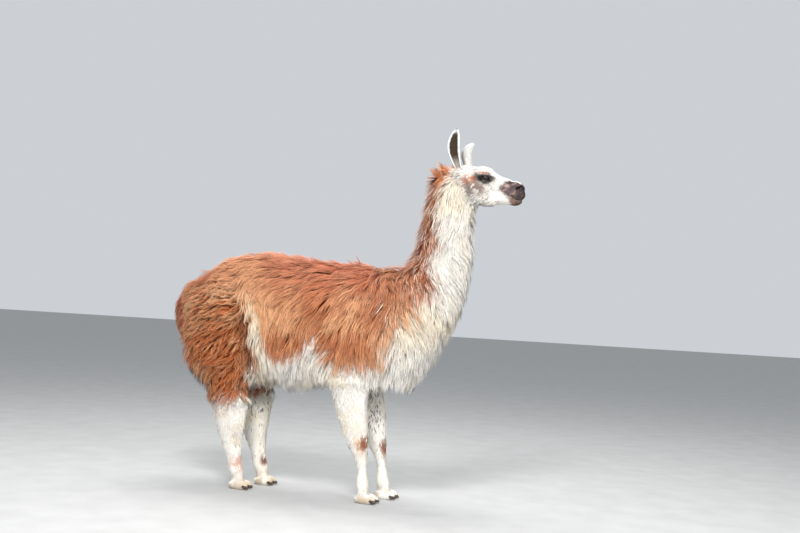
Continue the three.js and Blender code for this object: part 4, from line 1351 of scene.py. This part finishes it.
def faceAllowed(spots):
    allowed = faceShare(spots)
    for side in (-1, 1):
        allowed = allowed * (lidDepth(spots, side) <= -0.0035)
    bare = distanceTo(bothSides(spots), muzzle["nostril"]) < 0.007
    bare |= distanceTo(bothSides(spots), muzzle["mouth"]) < 0.004
    return allowed * ~bare


def faceLength(spots):
    cheek, nose = shortHair["faceLength"], shortHair["muzzleLength"]
    length = cheek + (nose - cheek) * smoothStep(0.87, 0.97, spots[:, 0])
    return length + shortHair["more"] * smoothStep(0.06, 0.0, faceAhead(spots))


def faceWidth(spots):
    return 0.0010 - 0.0004 * smoothStep(0.87, 0.97, spots[:, 0])


faceHair = growShort(shortHair["faceSpacing"], faceAllowed, 140000, faceLength, faceWidth, dice)
for sideName, chosen in eachSide(faceHair):
    total += layCoat("coat_face_" + sideName, faceHair, chosen, roundX(1.51), shortHair["faceRidge"])
earTufts = growEars(dice)
for sideName, chosen in eachSide(earTufts):
    unwrap = roundZ(0.70, earTufts["root"][chosen, 1].mean())
    total += layCoat("coat_ear_" + sideName, earTufts, chosen, unwrap)
print("coat:", total, "triangles in all")

# eyes and lashes
lashes = {"count": 46, "points": 6, "length": 0.017, "halfWidth": 0.00045}


def eyeball(side):  # a ball with the cornea's swell, marked with each point's place about the pupil
    middle, out, ahead, upwards = eyeFrame(side)
    bm = bmesh.new()
    bmesh.ops.create_uvsphere(bm, u_segments=64, v_segments=40, radius=eyes["radius"])
    local = []
    for vert in bm.verts:
        direction = vert.co.normalized()
        local.append(direction)
        swell = 0.0010 * float(smoothStep(0.80, 0.93, direction.z))
        vert.co = direction * (eyes["radius"] + swell)
    bm.transform(Matrix.Translation(middle) @ Matrix((ahead, upwards, out)).transposed().to_4x4())
    mesh = meshOf(bm, "eye")
    mesh.shade_smooth()
    writeVectors(mesh, "eyePlace", np.array(local))
    if Matrix((ahead, upwards, out)).determinant() < 0:
        mesh.flip_normals()
    return mesh


def growLashes(side, dice):  # a fan of long lashes along the upper lid
    count, points, half = lashes["count"], lashes["points"], eyes["halfLength"]
    middle, out, ahead, upwards = (np.array(v) for v in eyeFrame(side))
    a = np.linspace(-0.92, 0.96, count) * half + dice.normal(0, 0.0002, count)
    b = eyes["upper"] * np.clip(1 - (a / half) ** 2, 0, 1) ** 0.8
    lidRadius = eyes["radius"] + eyes["lid"] * 0.9
    c = np.sqrt(lidRadius ** 2 - a ** 2 - b ** 2)
    root = middle + a[:, None] * ahead + b[:, None] * upwards + c[:, None] * out
    share = np.linspace(0, 1, points)
    length = lashes["length"] * (0.65 + 0.35 * np.sin(np.linspace(0.4, 2.9, count)))
    run = length[:, None] * share[None, :]
    drop = -0.42 * run + 0.35 * run ** 2 / lashes["length"]
    fan = run * (a / half * 0.5)[:, None]
    path = root[:, None] + out * (0.85 * run)[..., None] + upwards * drop[..., None] + ahead * fan[..., None]
    side, rise, shade = (np.tile(value, (count, points, 1)) for value in (ahead, upwards, shades["black"]))
    width = lashes["halfWidth"] * (1 - 0.8 * share)[None, :] * np.ones((count, 1))
    return {"path": path, "side": side, "rise": rise, "width": width, "shade": shade, "root": root}


eyeMaterial = eyeFinish()
sideNames = {-1: "right", 1: "left"}
for side, sideName in sideNames.items():
    piece = finishPiece("eyeball_" + sideName, eyeball(side), eyeMaterial)
    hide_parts("eye_" + sideName)
every = np.arange(lashes["count"])
for side, sideName in sideNames.items():
    layCoat("lashes_" + sideName, growLashes(side, dice), every, roundX(1.50))
print("eyes and lashes done")

# nails: a tapering hooked form over the tip of each toe
nails = {
    "length": 0.030, "halfWidth": 0.0150, "halfHeight": 0.0165, "hook": 0.010,
    "ahead": 0.031, "out": 0.003,  # from the toe's middle
    "height": 0.0195, "lowest": 0.0014,  # over the ground
}
hornMaterial = hornFinish()
for name, (footX, footY) in feet.items():
    for outward, toeName in ((np.sign(footY), "outer"), (-np.sign(footY), "inner")):
        bm = bmesh.new()
        bmesh.ops.create_uvsphere(bm, u_segments=28, v_segments=22, radius=1)
        bm.transform(Matrix.Rotation(math.pi / 2, 4, "Y"))
        for vert in bm.verts:
            forward = vert.co.x
            taper = 1 - 0.42 * max(forward, 0) ** 1.5
            ridge = 1 - 0.25 * abs(vert.co.y) ** 2 * (vert.co.z > 0)
            vert.co.y *= nails["halfWidth"] * taper
            vert.co.z = vert.co.z * nails["halfHeight"] * taper * ridge - nails["hook"] * max(forward, 0) ** 2
            vert.co.x = forward * nails["length"]
        turn = Matrix.Rotation(math.radians(float(outward) * toes["splay"]), 4, "Z")
        toeY = footY + float(outward) * (toes["spread"] + nails["out"])
        bm.transform(Matrix.Translation((footX + nails["ahead"], toeY, nails["height"])) @ turn)
        for vert in bm.verts:
            vert.co.z = max(vert.co.z, nails["lowest"])
        mesh = meshOf(bm, "nail")
        mesh.shade_smooth()
        piece = finishPiece(f"claw_{name}_{toeName}", mesh, hornMaterial)
        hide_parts(f"nail_{name}_{toeName}")
print("nails done")


# floor, light and camera
studio = {
    "floorHalf": 30, "aim": (0.0, 0.0, 0.9), "air": (0.86, 0.90, 0.95, 1), "airStrength": 0.70,
    "lamps": (  # place, width and power
        ("key", (0.9, -3.9, 4.4), 1.4, 350), ("front", (3.8, -2.8, 2.4), 2.2, 90),
        ("top", (-0.4, 0.9, 4.6), 2.2, 150),
    ),
}


def stageAndLight():
    finish = Finish("pale floor")
    grain = finish.noise(finish.objectPlace(), 6.0, 4.0)
    colour = finish.ramp(grain, (0.3, (0.40, 0.40, 0.39)), (0.7, (0.44, 0.44, 0.43)))
    finish.set(Base_Color=colour, Roughness=0.8)
    bm = bmesh.new()
    bmesh.ops.create_grid(bm, x_segments=2, y_segments=2, size=studio["floorHalf"])
    floor = objectOf("floor", meshOf(bm, "floor"))
    floor.data.materials.append(finish.material)

    world = bpy.data.worlds.new("studio")
    bpy.context.scene.world = world
    world.use_nodes = True
    air = world.node_tree.nodes["Background"].inputs
    air["Color"].default_value, air["Strength"].default_value = studio["air"], studio["airStrength"]
    for name, place, size, power in studio["lamps"]:
        lamp = bpy.data.lights.new(name, "AREA")
        lamp.size, lamp.energy = size, power
        light = bpy.data.objects.new(name, lamp)
        light.location = place
        light.rotation_euler = (Vector(studio["aim"]) - Vector(place)).to_track_quat("-Z", "Y").to_euler()
        bpy.context.scene.collection.objects.link(light)


view = {  # angles in degrees, and the lens as pixels of a picture so many pixels wide
    "place": (2.254, -5.009, 0.940), "azimuth": 20, "elevation": -2, "roll": 3.0, "focal": 1111, "width": 800,
}


def setCamera():
    turn, tilt, roll = (math.radians(view[key]) for key in ("azimuth", "elevation", "roll"))
    back = Vector((math.sin(turn) * math.cos(tilt), -math.cos(turn) * math.cos(tilt), math.sin(tilt)))
    right = Vector((math.cos(turn), math.sin(turn), 0))
    above = back.cross(right)
    across = right * math.cos(roll) + above * math.sin(roll)
    upright = -right * math.sin(roll) + above * math.cos(roll)
    lens = bpy.data.cameras.new("camera")
    lens.sensor_width = 36
    lens.lens = lens.sensor_width * view["focal"] / view["width"]
    lens.clip_end = 200
    camera = bpy.data.objects.new("camera", lens)
    camera.matrix_world = Matrix.Translation(Vector(view["place"]) + ownShift) @ Matrix(
        (across, upright, back)).transposed().to_4x4()
    bpy.context.scene.collection.objects.link(camera)
    bpy.context.scene.camera = camera


stageAndLight()
setCamera()
bpy.context.scene.view_settings.view_transform = "Standard"
bpy.data.meshes.remove(bodyMesh)
print("stage, light and camera set")
